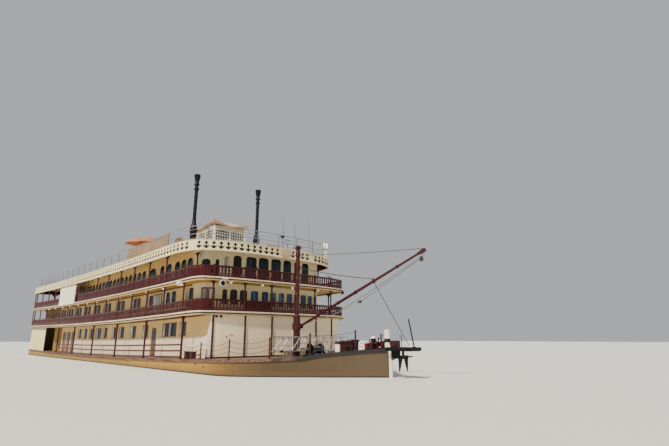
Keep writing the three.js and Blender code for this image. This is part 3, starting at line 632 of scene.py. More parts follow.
def spots(path, start=0, end=None):
    # the stations of a moulding between two distances
    end = path["end"] if end is None else end
    return [start] + [one for one in path["lengths"] if start + .01 < one < end - .01] + [end]


def bend(bm, path, crease=False):
    # lays a flat piece along its path; crease folds wide faces at the path's corners
    lengths, points, miters = path["lengths"], path["points"], path["miters"]
    for length in lengths[1:-1] if crease else ():
        cut(bm, length)
    for vert in bm.verts:
        s, d, z = vert.co
        i = min(max(bisect.bisect_right(lengths, s) - 1, 0), len(lengths) - 2)
        part = (s - lengths[i]) / (lengths[i + 1] - lengths[i])
        place = points[i].lerp(points[i + 1], part) + miters[i].lerp(miters[i + 1], part) * d
        vert.co = (place.x, place.y, z)
    bmesh.ops.reverse_faces(bm, faces=bm.faces)


def cut(bm, x):
    geom = bm.verts[:] + bm.edges[:] + bm.faces[:]
    bmesh.ops.bisect_plane(bm, geom=geom, dist=1e-4, plane_co=(x, 0, 0), plane_no=(1, 0, 0))


# what a piece's first finish is called
slots = {"maroon": "maroon_paint", "edge": "white_paint", "white": "white_paint", "black": "black_paint",
         "mast": "mast_red", "grey": "rail_grey", "chain": "steel", "machine": "steel", "rope": "canvas_tan",
         "canvas": "canvas_tan", "orange": "parasol_orange", "wheel": "wheel_red", "strake": "strake_timber",
         "door": "door_brown", "locker": "locker_red", "aluminium": "aluminium"}


def finishPiece(name, bm, materials, body="vessel", slot=None, replaces=(), line=sheerLine, sharp=32):
    # sheers the piece, turns it into model metres and puts it on its body; line None keeps it level
    if line:
        low, high = min(v.co.x for v in bm.verts), max(v.co.x for v in bm.verts)
        for station, _ in line:
            if low + .02 < station < high - .02:
                cut(bm, station)
    for vert in bm.verts:
        x, y, z = vert.co
        vert.co = toModel(x, y, z + (rise(x, line) if line and z > 0 else 0))
    mesh = toMesh(bm)
    mesh.name = name
    for material in materials:
        mesh.materials.append(mats[material])
    mesh.shade_smooth()
    mesh.set_sharp_from_angle(angle=math.radians(sharp))
    piece = addObject(name, mesh)
    slot = slot or slots.get(materials[0], "cream_paint")
    if body:  # a piece that bends between two bodies has none of its own
        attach(piece, body)
    if replaces:
        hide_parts(*replaces)
    return piece


def sidePath(hand, front, end, y, inboard=None):
    # along one side, outboard on the right; inboard carries it round the stern
    points = [(front, hand * y), (end, hand * y)]
    if inboard is not None:
        points.append((end, hand * inboard))
    return makePath(points if hand > 0 else points[::-1])


# finishes of the CAD nodes that stay; the rest are maroon
nodeFinish = {
    "hull": "hull", "strake": "rubbing_strake", "white": "stem_post side_board", "panel": "main_front_screen",
    "black": "bow_platform jackstaff anchor funnel derrick_winch", "mast": "kingpost boom_collar boom",
    "warm": "main_wall engine_room_bulkhead second_house third_house", "deck": "second_deck third_deck",
    "cream": "stern_casing second_house_front third_house_front third_house_aft wheel_trunk wheelhouse",
    "roof": "roof_deck", "grey": "roof_rail roof_rail_front", "canvas": "rail_canvas", "wheel": "paddle_wheel",
    "orange": "parasol_fore parasol_aft", "beige": "wheelhouse_roof", "steel": "wheel_shaft", "door": "main_door",
    "machine": "engine wheel_bearing", "locker": "windlass foredeck_locker", "aluminium": "gangway",
}
for name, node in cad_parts.items():
    plain = name.removesuffix("_starboard").removesuffix("_port")
    finish = next((key for key, names in nodeFinish.items() if plain in names.split()), "maroon")
    if not node.material_slots:
        node.data.materials.append(mats[finish])
    for materialSlot in node.material_slots:
        materialSlot.material = mats[finish]
print("frame painted")


def parts(a, b, count):
    # equal parts between a and b
    return [(a + (b - a) * i / count, a + (b - a) * (i + 1) / count) for i in range(count)]


def rectangle(s, z):
    return [(s[0], z[0]), (s[1], z[0]), (s[1], z[1]), (s[0], z[1])]


def closeBoard(bm, thick):
    # joins sawn units side by side and gives them their thickness
    bmesh.ops.remove_doubles(bm, verts=bm.verts, dist=1e-4)
    pull(bm, bm.faces[:], (0, -thick, 0))
    faceOut(bm)


# galleries
gallery = {"rail": .916, "inset": .12, "railWidth": .1, "unit": .27, "boardLow": .1, "boardHigh": .85, "thick": .035,
           "post": .05, "inboard": .17, "bay": 3.5, "firstPost": -14.08, "clear": .06, "shortPost": .97}


def fretUnit():
    # one board of the balustrade: a vase-shaped slot, two staggered rows of lozenges at the foot
    unit = gallery["unit"]
    half = [(.01, .30), (.055, .34), (.078, .42), (.06, .50), (.052, .58), (.078, .66), (.062, .74), (.01, .80)]
    slot = [(unit / 2 + s, z) for s, z in half] + [(unit / 2 - s, z) for s, z in reversed(half)]
    lozenges = [[(c + .045, z), (c, z + .055), (c - .045, z), (c, z - .055)]
                for c, z in ((unit / 2, .18), (unit * .19, .24), (unit * .81, .24))]
    part = bmesh.new()
    fillLoops(part, [rectangle((0, unit), (gallery["boardLow"], gallery["boardHigh"])), slot, *lozenges])
    return toMesh(part)


fretFlat, fretBoards = fretUnit(), {}


def fretBoard(count):
    # a bay's balustrade of count boards, as one closed board
    if count not in fretBoards:
        part = bmesh.new()
        for i in range(count):
            stamp(part, fretFlat, (i * gallery["unit"], 0, 0))
        closeBoard(part, gallery["thick"])
        fretBoards[count] = toMesh(part)
    return fretBoards[count]


def galleryPost(height, brackets=True):
    # slender post with a base, a collar and sawn brackets under the deck above
    part = bmesh.new()
    blocks = [(gallery["post"], .02, height - .01, .012), (.085, 0, .12, .015), (.07, .93, .99, .012)]
    if brackets:
        blocks += [(.08, height - .09, height - .004, .015), (.065, height - .56, height - .5, .012)]
    for half, low, high, edge in blocks:
        post(part, 0, 0, half, (low, high), edge=edge)
    arm = [(.045, -.5), (.09, -.36), (.16, -.22), (.27, -.12), (.40, -.07), (.40, -.005), (.045, -.005)]
    eye = [(.09, -.17), (.16, -.1), (.14, -.07), (.08, -.07)]
    for hand in (-1, 1) if brackets else ():
        outline, hole = [[(hand * s, height + z) for s, z in line] for line in (arm, eye)]
        cutBoard(part, outline, (-.02, .02), [hole])
    return toMesh(part)


def makeGallery(storey, place, path, posts, margin, shortPosts=(), solid=()):
    deck, above = storeys[storey]
    outer, clear, unit = -gallery["inset"], gallery["clear"], gallery["unit"]
    inner, rail = outer - gallery["railWidth"], deck + gallery["rail"]
    stations = spots(path, margin, path["end"] - margin)
    bm = bmesh.new()
    sweep(bm, [(outer + .012, rail - .03), (outer, rail - .012), (outer - .02, rail), (inner + .02, rail),
               (inner, rail - .012), (inner - .01, rail - .03), (inner + .02, rail - .075), (outer - .02, rail - .075)],
          stations)
    strip(bm, stations, (inner + .02, outer - .02), (deck + .05, deck + .12))
    tall, short = galleryPost(above - deck - .002), galleryPost(gallery["shortPost"], False)
    for s in sorted(posts):
        stamp(bm, short if s in shortPosts else tall, (s, -gallery["inboard"], deck))
    edges = sorted([stations[0] - clear, *posts, stations[-1] + clear])
    for a, b in zip(edges, edges[1:]):
        width = b - a - 2 * clear
        if width < .2:
            continue
        count = max(1, round(width / unit))
        stamp(bm, fretBoard(count), (a + clear, outer - .03, deck), (width / (count * unit), 1, 1))
        if any(a < one < b for one in solid):
            box(bm, (a + .08, b - .08), (inner - .06, inner - .04), (deck + .1, deck + .84))
    bend(bm, path)
    finishPiece(f"{storey}_balustrade_{place}", bm, ["maroon"], replaces=[f"{storey}_gallery_{place}"])


storeys = {"second": (boat["second"], boat["thirdUnder"]), "third": (boat["third"], boat["roofUnder"])}
deckPath = makePath(frontCurve(deckFront))
frontPosts = [along(deckPath, -12, y) for y in (-6.4, -3.85, -1.35, 1.15, 3.35, 5.4)]
sidePosts = [gallery["firstPost"] - gallery["bay"] * i for i in range(15)]
wellEdge = 3.9  # the second deck's after edge ends at the wheel well
for storey in storeys:
    isSecond = storey == "second"
    solid = [along(deckPath, -12, y) for y in ((-2.6, -7) if isSecond else (-7,))]
    makeGallery(storey, "front", deckPath, frontPosts, .02, () if isSecond else frontPosts, solid)
    for side, hand in sides:
        path = sidePath(hand, deckFront["end"], boat["deckEnd"], boat["halfDeck"], wellEdge if isSecond else .06)
        posts = [along(path, x, hand * boat["halfDeck"]) for x in [*sidePosts, boat["deckEnd"] + .18]]
        posts += [along(path, boat["deckEnd"], hand * y) for y in ((5.9,) if isSecond else (5.2, 2.6))]
        makeGallery(storey, side, path, posts, .03, () if isSecond else posts[:1])
print("galleries ready")

# deck edges: white segments over a dark moulding, and under it a band of warm ochre, painted shade beneath the edge
deckEdge = {"gap": .05, "proud": .028}


def makeDeckEdge(storey, place, path, joints):
    under, top, proud = boat[storey + "Under"], boat[storey], deckEdge["proud"]
    bm = bmesh.new()
    marks = sorted([0, *joints, path["end"]])
    for a, b in zip(marks, marks[1:]):
        sweep(bm, [(-.05, under + .06), (proud, under + .06), (proud, top), (.01, top + .02), (-.05, top + .02)],
              spots(path, a + deckEdge["gap"] / 2, b - deckEdge["gap"] / 2))
    sweep(bm, [(-.04, under - .035), (.018, under - .035), (.036, under - .01), (.036, under + .035),
               (-.04, under + .035)], spots(path), finish=1)
    # the warm ochre band under the edge paints its shade on the soffit
    strip(bm, spots(path), (-.16, -.02), (under - .12, under - .03), 2)
    bend(bm, path)
    finishPiece(f"{storey}_deck_edge_{place}", bm, ["edge", "shade" if storey == "second" else "maroon", "warm"])


for storey in storeys:
    makeDeckEdge(storey, "front", deckPath, frontPosts)
    for side, hand in sides:
        inboard = wellEdge if storey == "second" else 0
        path = sidePath(hand, deckFront["end"], boat["deckEnd"], boat["halfDeck"], inboard)
        makeDeckEdge(storey, side, path, [along(path, x, hand * boat["halfDeck"]) for x in sidePosts[1:]])
print("deck edges ready")


# windows and doors of the houses
def windowUnit(width, sill, head, arch, frameWidth, proud, glass=1, rail=None):
    # a pane behind a moulded frame with rounded upper corners
    half = width / 2
    corner = min(arch, half)
    steps = 6 if corner > .1 else 1
    points = [(-half, sill), (half, sill)]
    for hand, first in ((1, 0), (-1, 90)):
        for i in range(steps + 1):
            turn = math.radians(first + 90 * i / steps)
            points.append((hand * (half - corner) + corner * math.cos(turn), head - corner + corner * math.sin(turn)))
    part = bmesh.new()
    part.faces.new([part.verts.new((s, -.02, z)) for s, z in points])
    bmesh.ops.remove_doubles(part, verts=part.verts, dist=1e-4)
    front = pull(part, part.faces[:], (0, .03, 0))[0]
    faceOut(part)
    ring = bmesh.ops.inset_region(part, faces=[front], thickness=frameWidth, use_even_offset=True)["faces"]
    front.material_index = glass
    pull(part, ring, (0, proud - .01, 0))
    if rail:
        pane = half - frameWidth + .01
        box(part, (-pane, pane), (0, .028), (rail - .02, rail + .02))
    return toMesh(part)


def doorUnit(width, low, high, leaf=2, pane=1):
    # two leaves with an upper panel each, in a casing
    part = bmesh.new()
    half = width / 2
    box(part, (-half - .07, half + .07), (-.01, .05), (high, high + .09), edge=.01)
    for hand in (-1, 1):
        inner = (hand * .1, hand * (half - .09))
        box(part, (hand * half, hand * (half + .07)), (-.01, .05), (low, high + .02), edge=.01)
        box(part, (hand * .012, hand * (half - .01)), (-.01, .02), (low + .02, high - .01), finish=leaf)
        box(part, inner, (0, .034), (low + .15, low + (high - low) * .42), finish=leaf, edge=.02)
        box(part, inner, (0, .024), (low + (high - low) * .5, high - .12), finish=pane)
    return toMesh(part)


def trim(bm, path, proud, z):
    strip(bm, spots(path), (-.01, proud), z)


def windowPairs(bm, path, y, items, panes, **form):
    for x, width in items:
        for step, glass in zip((width * .5, -width * .5), panes):
            fit(bm, windowUnit(width * .98, glass=glass, **form), along(path, x + step, y))


# place across the boat, width, pane, and the head where it isn't the row's
thirdFront = [(-6.0, .8, "glass", 8.42), (-5.13, .38, "shade", 8.45), (-4.36, .52, "curtain", 8.75),
              (-3.42, .84, "shade", 8.88), (-2.09, 1.1, "glass", 8.9), (-.85, 1.12, "glass", 8.95),
              (.48, 1.14, "glass", 9.0), (1.75, 1.0, "glass"), (2.95, .8, "glass"), (4.0, .96, "glass")]
secondFront = [(-4.4, .5, "glassOlive"), (-3.62, .72, "glassOlive"), (-2.72, .76, "glass")]
secondFront += [(y, width, "glassBlue") for y, width in (
    (-1.66, .8), (-.6, .74), (.26, .72), (1.17, .68), (2.08, .72), (2.95, .7), (3.8, .78), (4.7, .72), (5.55, .6))]
frontFinishes = ["cream", "glass", "glassBlue", "glassOlive", "curtain", "shade", "door"]
housePath = makePath(frontCurve(houseFront, fine=False))
for storey, items, sill, head, arch, low, high in (("third", thirdFront, 6.95, 9.02, .3, 6.591, 9.26),
                                                   ("second", secondFront, 4.75, 6.05, .22, 4.051, 6.45)):
    bm = bmesh.new()
    for y, width, kind, *own in items:
        unit = windowUnit(width, sill, own[0] if own else head, arch, .045, .045, frontFinishes.index(kind))
        fit(bm, unit, alongFront(housePath, houseFront, y))
    if storey == "second":
        fit(bm, doorUnit(1.1, 4.1, 6.1, leaf=6, pane=4), along(housePath, -14.6, -5.35))
    trim(bm, housePath, .03, (low, low + .16))
    trim(bm, housePath, .05, (high - .1, high))
    bend(bm, housePath, True)
    finishPiece(f"{storey}_house_front_windows", bm, frontFinishes)

thirdSide = [(-16, .95), (-17.15, .9), (-18.35, 1.0), (-19.95, .95), (-21.4, .85), (-23.5, 1.75)]
thirdSide += [(-25.55 - gallery["bay"] / 3 * i, .92) for i in range(20)]
secondSide = [(-15.7, .6), (-18.88, .62), (-20.0, .6), (-23.63, .62), (-26.4, .5), (-27.4, .6), (-30.65, .65),
              (-31.8, .6)] + [(-34.6 - gallery["bay"] * i + step, .6) for i in range(6) for step in (0, -1.1)]
mainSide = [(-16.48, .56), (-18.55, .9), (-19.7, .6), (-24.0, .6), (-26.98, .65), (-30.05, .7), (-32.1, .6),
            (-34.9, .6), (-37.15, .9), (-39.6, .6), (-41.9, .7), (-44.0, .6)]
houseWall, thirdAft = -15.301, -49.5
for side, hand in sides:
    wall = hand * boat["halfHouse"]
    path = sidePath(hand, houseWall, thirdAft, boat["halfHouse"])
    bm = bmesh.new()
    for x, width in thirdSide:
        fit(bm, windowUnit(width * 1.08, 6.95, 8.76, width * .54, .035, .04), along(path, x, wall))
    trim(bm, path, .03, (6.591, 6.75))
    trim(bm, path, .05, (8.8, 8.895))
    bend(bm, path)
    finishPiece(f"third_house_{side}_windows", bm, ["warm", "glass"])

    path = sidePath(hand, houseWall, -62.3, boat["halfHouse"])
    bm = bmesh.new()
    windowPairs(bm, path, wall, secondSide, (1, 2), sill=4.75, head=6.15, arch=.06, frameWidth=.04, proud=.045,
                rail=5.45)
    fit(bm, doorUnit(1.7, 4.12, 6.1, pane=2), along(path, -21.9, wall))
    for i in range(16):  # slatted bay aft
        s = along(path, -54.2 - .5 * i, wall)
        box(bm, (s - .06, s + .06), (-.01, .06), (4.06, 6.44), finish=3 if i % 2 else 0)
    trim(bm, path, .03, (4.051, 4.22))
    trim(bm, path, .05, (6.34, 6.45))
    bend(bm, path)
    finishPiece(f"second_house_{side}_windows", bm, ["frame", "glass", "curtain", "door"])

    path = sidePath(hand, -11.87, -52, boat["halfHouse"])
    bm = bmesh.new()
    windowPairs(bm, path, wall, mainSide, (1, 5), sill=2.36, head=3.5, arch=.02, frameWidth=.045, proud=.05)
    for x in (-46.6, -48.6, -50.6):
        fit(bm, doorUnit(1.1, .7, 3.1), along(path, x, wall))
    for ends in ((-11.9, -21.45), (-22.7, -45.8)):  # pale dado in sheets, clear of the hinged door
        a, b = sorted(along(path, x, wall) for x in ends)
        for s0, s1 in parts(a, b, max(1, round((b - a) / 2.4))):
            box(bm, (s0 + .012, s1 - .012), (-.01, .022), (.66, 2.2), finish=4, edge=.006)
        box(bm, (a, b), (-.01, .045), (2.2, 2.28), finish=4, edge=.01)
    trim(bm, path, .05, (3.8, 3.9))
    bend(bm, path)
    finishPiece(f"main_wall_{side}_windows", bm, ["frame", "glass", "door", "shade", "edge", "curtain"])
print("windows ready")

# main deck: the bowed screen
screen = {"pipes": (-6.3, -3.7, -1.2, 1.3, 3.6, 5.65), "pipe": .075, "low": .642, "high": 3.905, "seam": .02,
          "collars": (.66, 2.2, 3.82), "doorway": (1.02, 1.62)}
screenPath = makePath(frontCurve(screenFront)[11:-11])  # it ends where its corners would start


def screenAt(y):
    return alongFront(screenPath, screenFront, y)


bm = bmesh.new()
pipes = [screenAt(y) for y in screen["pipes"]]
strip(bm, spots(screenPath, screenAt(-6.38)), (-.12, -.04), (screen["low"], screen["high"]))
for a, b in zip(pipes, [*pipes[1:], screenPath["end"]]):  # plates between the pipes, a fine seam at each end
    sweep(bm, [(-.06, .68), (0, .69), (0, 3.88), (-.06, 3.895)],
          spots(screenPath, a + screen["seam"], b - screen["seam"]))
for s in pipes:
    rod(bm, (s, .02, .645), (s, .02, 3.9), screen["pipe"], 10, finish=1)
    for z in screen["collars"]:
        tube(bm, (s, .02, z), 0, .1, 0, .05, 10, 1)
sweep(bm, [(-.02, .645), (.05, .645), (.05, .74), (-.02, .76)], spots(screenPath), finish=3)
wing = [(screenAt(-6.31), .7), (.01, .7), (.02, 1.5), (.06, 2.1), (.15, 2.7), (.26, 3.3), (.34, 3.9),
        (screenAt(-6.31), 3.9)]
cutBoard(bm, wing, (-.07, .01), finish=2)
doorStart, doorEnd = screen["doorway"]
# a near-black panel in the doorway: painted shade of the opening
box(bm, (screenAt(doorStart), screenAt(doorEnd)), (-.03, .012), (.75, 2.9), finish=3)
for y0, y1 in ((doorStart - .06, doorStart), (doorEnd, doorEnd + .06)):
    box(bm, (screenAt(y0), screenAt(y1)), (-.03, .04), (.7, 2.98))
bend(bm, screenPath)
finishPiece("front_screen", bm, ["panel", "maroon", "white", "shade"], replaces=["main_front_screen"])

# main deck: side posts with their rails
fence = {"firstPost": -14.28, "y": 7.39, "post": .07, "low": .642, "rails": (.72, 1.17, 1.62), "railHeight": .13}
mainPosts = [fence["firstPost"] - 2 * gallery["bay"] * i for i in range(6)]
arm = [(.05, 3.2), (.1, 3.42), (.22, 3.6), (.45, 3.7), (.45, 3.78), (.05, 3.78)]
for side, hand in sides:
    bm = bmesh.new()
    y = hand * fence["y"]
    box(bm, (-14.2, -64.2), (hand * 7.46, hand * 7.6), (3.7, 3.905))
    for x in mainPosts:
        post(bm, x, y, fence["post"], (fence["low"], 3.86), edge=.015)
        box(bm, (x - .12, x + .12), (y - .11, y + (.08 if hand < 0 else .11)), (fence["low"], .8), edge=.02)
        post(bm, x, y, (.1, .09), (3.62, 3.88), edge=.015)
        for way in (-1, 1):
            cutBoard(bm, [(x + way * s, z) for s, z in arm], (y - .02, y + .02))
    for low in fence["rails"]:
        high = low + fence["railHeight"]
        box(bm, (mainPosts[0], mainPosts[-1]), (hand * 7.36, hand * 7.43), (low, high), edge=.015)
    for x in mainPosts[:-1]:
        box(bm, (x - 3.54, x - 3.46), (hand * 7.34, hand * 7.36), (.645, 1.74), edge=.008)
    finishPiece(f"main_posts_{side}", bm, ["maroon"], replaces=[f"main_deck_posts_{side}"])

# stern casings: vertical ribs and a white rounded edge
casing = {"sideRibs": 22, "sternRibs": 10, "spacing": .35, "height": (.66, 3.9)}
for side, hand in sides:
    bm = bmesh.new()
    for i in range(casing["sideRibs"]):
        post(bm, -56.2 - casing["spacing"] * i, hand * 7.46, (.03, .02), casing["height"], edge=.008)
    for i in range(casing["sternRibs"]):
        post(bm, -63.915, hand * (4.1 + casing["spacing"] * i), (.025, .03), casing["height"], edge=.008)
    for x, radius in ((-56.02, .09), (-63.87, .08)):
        rod(bm, (x, hand * 7.42, .645), (x, hand * 7.42, 3.9), radius, 12, finish=1)
    finishPiece(f"stern_ribs_{side}", bm, ["cream", "white"])
print("main deck ready")

# roof: plate, pierced fascia, soffit
fascia = {"unit": .58, "low": boat["roofUnder"], "high": 9.75, "thick": .025, "blank": (100, 120, 127), "inset": .27}


def fasciaUnit(sawn=True):
    # a lozenge that stands on a cusped half-round, sawn through
    unit, low = fascia["unit"], fascia["low"]
    half = [(0, .76), (.09, .68), (.175, .60), (.09, .52), (.045, .48), (.045, .42), (.09, .36), (.16, .38), (.25, .46),
            (.22, .30), (.12, .19), (0, .11)]
    motif = [(unit / 2 + s, low + z) for s, z in half + [(-s, z) for s, z in reversed(half[1:-1])]]
    part = bmesh.new()
    fillLoops(part, [rectangle((0, unit), (low, fascia["high"]))] + ([motif] if sawn else []))
    return toMesh(part)


fasciaFlat, fasciaBlank = fasciaUnit(), fasciaUnit(False)
sternSide = [(boat["deckEnd"], 0), (boat["deckEnd"], -boat["halfDeck"])]
roofPath = makePath(sternSide + frontCurve(roofFront) + [(x, -y) for x, y in reversed(sternSide)])
count = round(roofPath["end"] / fascia["unit"])
bm = bmesh.new()
for i in range(count):
    stamp(bm, fasciaBlank if i in fascia["blank"] else fasciaFlat, (i * fascia["unit"], 0, 0))
closeBoard(bm, fascia["thick"])
bmesh.ops.scale(bm, vec=(roofPath["end"] / (count * fascia["unit"]), 1, 1), verts=bm.verts)
for vert in bm.verts:
    vert.co.y = min(vert.co.y, -.001)
whole = spots(roofPath)
sweep(bm, [(-.06, 8.88), (.012, 8.88), (.03, 8.91), (.03, 8.96), (0, 8.985), (-.06, 8.985)], whole)
sweep(bm, [(-.06, 9.70), (0, 9.69), (.035, 9.725), (.035, 9.76), (-.06, 9.775)], whole)
# a near-black strip just behind the board: painted shade that shows through the sawn holes
strip(bm, whole, (-.06, -.034), (8.95, 9.64), 1)
strip(bm, whole, (-.3, -.06), (9.635, 9.655))
crest = along(roofPath, -12.04, .6)  # a plain oval board amidships
for reach, depth in ((1, .05), (.86, .075)):
    cutBoard(bm, [(crest + .6 * reach * c, 9.34 + .37 * reach * s) for c, s in circle(24)], (-.02, depth), finish=2)
bend(bm, roofPath)
finishPiece("roof_fascia", bm, ["cream", "shade", "beige"])

bm = bmesh.new()
inner = [point - miter * fascia["inset"] for point, miter in zip(roofPath["points"][1:-1], roofPath["miters"][1:-1])]
face = bm.faces.new([bm.verts.new((x, y, boat["roofPlate"])) for x, y in inner])
pull(bm, [face], (0, 0, boat["roof"] - boat["roofPlate"]))
faceOut(bm)
for i in range(14):  # deck beams under the roof
    post(bm, -16.2 - gallery["bay"] * i, 0, (.06, 7.5), (9.28, 9.46), 1)
for y in (-7.45, 7.45):
    box(bm, (-16.5, -64.1), (y - .06, y + .06), (9.2, 9.46), finish=1)
finishPiece("roof_plate", bm, ["roof", "cream"], replaces=["roof_deck"], sharp=25)

# posts under the roof's front corners
bm = bmesh.new()
for hand in (-1, 1):
    stamp(bm, galleryPost(boat["roofUnder"] - 6.592), (-14.42, hand * 6.5, 6.592))
finishPiece("roof_corner_posts", bm, ["maroon"])
print("roof ready")

# wheelhouse: glazed lookout with corner posts
cabin = {"front": -20.58, "back": -25.64, "half": 1.81, "low": 9.602, "sill": 10.45, "head": 12.85, "top": 13.19,
         "post": .1, "lattice": .30}
cabinPath = makePath([(cabin[end], hand * cabin["half"]) for end, hand in (
    ("back", -1), ("front", -1), ("front", 1), ("back", 1), ("back", -1))])


def latticeWindow(bm, s0, s1, low, high):
    # glass behind a frame with crossed glazing bars
    box(bm, (s0, s1), (-.09, -.06), (low, high), finish=1)
    for edge in ((s0, s0 + .07), (s1 - .07, s1)):
        box(bm, edge, (-.1, .02), (low, high), finish=2, edge=.008)
    for edge in ((low, low + .07), (high - .07, high)):
        box(bm, (s0, s1), (-.1, .015), edge, finish=2, edge=.008)
    for s, _ in parts(s0, s1, max(2, round((s1 - s0) / cabin["lattice"])))[1:]:
        box(bm, (s - .018, s + .018), (-.07, -.01), (low + .05, high - .05), finish=2)
    for z, _ in parts(low, high, max(2, round((high - low) / cabin["lattice"])))[1:]:
        box(bm, (s0 + .05, s1 - .05), (-.075, -.015), (z - .018, z + .018), finish=2)


bm = bmesh.new()
low, sill, head, top = [cabin[level] for level in ("low", "sill", "head", "top")]
for a, b in zip(cabinPath["lengths"], cabinPath["lengths"][1:]):
    strip(bm, [a + .02, b - .02], (-.1, 0), (low, sill))
    sweep(bm, [(-.1, head), (0, head), (.02, head + .03), (.02, top), (-.1, top)], [a + .02, b - .02], finish=3)
    sweep(bm, [(-.02, sill - .03), (.06, sill - .03), (.07, sill + .03), (-.1, sill + .03)], [a + .03, b - .03],
          finish=2)
    for s0, s1 in parts(a + .1, b - .1, 3 if b - a > 4 else 2):
        latticeWindow(bm, s0 + .02, s1 - .02, sill + .03, head)
    for s0, s1 in parts(a + .12, b - .12, round((b - a) / .8)):
        box(bm, (s0 + .05, s1 - .05), (-.01, .018), (low + .12, sill - .14), edge=.015)
bend(bm, cabinPath)
for x in (cabin["front"] - .05, cabin["back"] + .05):
    for hand in (-1, 1):
        y = hand * (cabin["half"] - .05)
        post(bm, x, y, cabin["post"], (low, top), 2, .02)
        post(bm, x, y, .14, (low, low + .12), 2, .02)
finishPiece("wheelhouse_cabin", bm, ["panel", "glass", "white", "beige"], replaces=["wheelhouse"])

# wheelhouse roof: eaves moulding, hips and horned corners on the node's own roof
cabinRoof = {"middle": -23.11, "halfLength": 2.53, "base": 13.2008, "over": .25, "lift": .39, "rise": .05, "ridge": .8}
up = Vector((0, 0, 1))


def onRoof(i, j, inset, lift):
    # a place on the roof: i and j pick the corner, inset is from the walls
    return Vector((cabinRoof["middle"] + i * (cabinRoof["halfLength"] - inset), j * (cabin["half"] - inset),
                   cabinRoof["base"] + lift))


bm = bmesh.new()
eaves = [(1, 0), (1, 1), (0, 1), (-1, 1), (-1, 0), (-1, -1), (0, -1), (1, -1), (1, 0)]
ring = [onRoof(i, j, -cabinRoof["over"], cabinRoof["rise"] + (cabinRoof["lift"] if i and j else 0)) for i, j in eaves]
rods(bm, ring, .045, 8)
for (i, j), corner in list(zip(eaves, ring))[1::2]:
    outward = Vector((i, j, 0)).normalized()
    horn = [corner + outward * reach + up * height for reach, height in ((-.1, 0), (.03, .05), (.08, .17), (.1, .32))]
    for k, (a, b) in enumerate(zip(horn, horn[1:])):
        rod(bm, a, b, .06 - .014 * k, 8, .046 - .014 * k)
    rods(bm, [corner + up * .02, onRoof(i, j, .5, .47), onRoof(i, j, 1.15, cabinRoof["ridge"])], .035, 6)
rod(bm, *[(cabinRoof["middle"] + x, 0, cabinRoof["base"] + cabinRoof["ridge"]) for x in (-1.2, 1.2)], .05)
finishPiece("wheelhouse_roof_trim", bm, ["beige"])

# funnel crowns and bands
funnel = {"x": -21.3, "y": 3.65, "crownLow": 17.7, "petals": 12, "lean": 10,
          "bands": ((10.15, .34), (11.2, .325), (12.1, .325), (12.62, .375), (13.7, .2), (14.9, .195), (16.1, .195),
                    (17.3, .27))}
for side, hand in sides:
    bm = bmesh.new()
    for i, (c, s) in enumerate(circle(funnel["petals"], .21)):
        part = bmesh.new()
        cutBoard(part, [(-.055, 0), (.055, 0), (.075, .38), (0, .62), (-.075, .38)], (-.012, .012))
        lean = Matrix.Rotation(-math.radians(funnel["lean"]), 4, "X")
        turn = Matrix.Rotation(2 * math.pi * i / funnel["petals"] - math.pi / 2, 4, "Z")
        place = (funnel["x"] + c, hand * funnel["y"] + s, funnel["crownLow"])
        absorb(bm, part, 0, Matrix.Translation(place) @ turn @ lean)
    for z, radius in funnel["bands"]:
        band(bm, (funnel["x"], hand * funnel["y"], z), radius - .06, radius, .03, .012, 20)
    finishPiece(f"funnel_crown_{side}", bm, ["black"], line=None)

# roof: wires of the rail, aerials, lamp boxes and stores
bm = bmesh.new()
roofRail = {"deck": 9.602, "wires": (.36, 1.05), "inset": .325, "half": .012}
wirePaths = [makePath(frontCurve(roofFront))]
wirePaths += [sidePath(hand, -16.99, boat["deckEnd"], boat["halfDeck"], .06) for _, hand in sides]
for path in wirePaths:
    part = bmesh.new()
    for height in roofRail["wires"]:
        section = [(centre - roofRail["half"], centre + roofRail["half"])
                   for centre in (-roofRail["inset"], roofRail["deck"] + height)]
        strip(part, spots(path, .02, path["end"] - .02), *section)
    bend(part, path)
    absorb(bm, part, None)
finishPiece("roof_rail_wires", bm, ["grey"])

bm = bmesh.new()
roofGear = {"deck": 9.603, "aerials": ((-14, 1.75, 13.35, .022), (-14, 3.15, 12.92, .022), (-14.1, 5.0, 13.45, .018)),
            "stores": ((-14.2, .2, .25, 0), (-14.3, .9, .45, 4)), "horns": (-14.1, 2.35)}
roofTop = roofGear["deck"]
for x, y, top, radius in roofGear["aerials"]:
    rod(bm, (x, y, 9.62), (x, y, 10.9), radius + .015, 8)
    rod(bm, (x, y, 10.88), (x, y, top), radius, 6, .008, finish=1)
    flange(bm, (x, y, roofTop), .09, .03, .03, .06, 12)
for x, y, across, kind in roofGear["stores"]:
    post(bm, x, y, (.3, across), (roofTop, 10.3), kind, .04)
    post(bm, x, y, (.33, across + .03), (10.28, 10.38), 2, .02)
part = bmesh.new()
lathe(part, (0, 0, 0), [(0, 0), (.34, 0), (.42, .2), (.36, .5), (.18, .72), (0, .78)], 20)  # rounded locker by the rail
absorb(bm, part, 3, Matrix.Translation((-17.6, -6.75, roofTop)) @ Matrix.Diagonal((1.9, .8, 1.5, 1)))
hornX, hornY = roofGear["horns"]
rod(bm, (hornX, hornY, roofTop), (hornX, hornY, 10.75), .03, 8)
for hand in (-1, 1):  # twin horns
    rods(bm, [(hornX, hornY, 10.65), (hornX, hornY + .16 * hand, 10.83), (hornX, hornY + .18 * hand, 11.05)], .028, 6)
    lathe(bm, (hornX, hornY + .18 * hand, 11.03), [(0, 0), (.03, 0), (.08, .14), (.06, .14), (0, .04)], 12, 1)
box(bm, (-14.12, -13.85), (1.5, 1.8), (11.25, 11.45), finish=1, edge=.02)  # lamp on its pole
rod(bm, (-14, 1.65, roofTop), (-14, 1.65, 11.27), .025, 8)
finishPiece("roof_gear", bm, ["grey", "black", "tan", "canvas", "crate"])

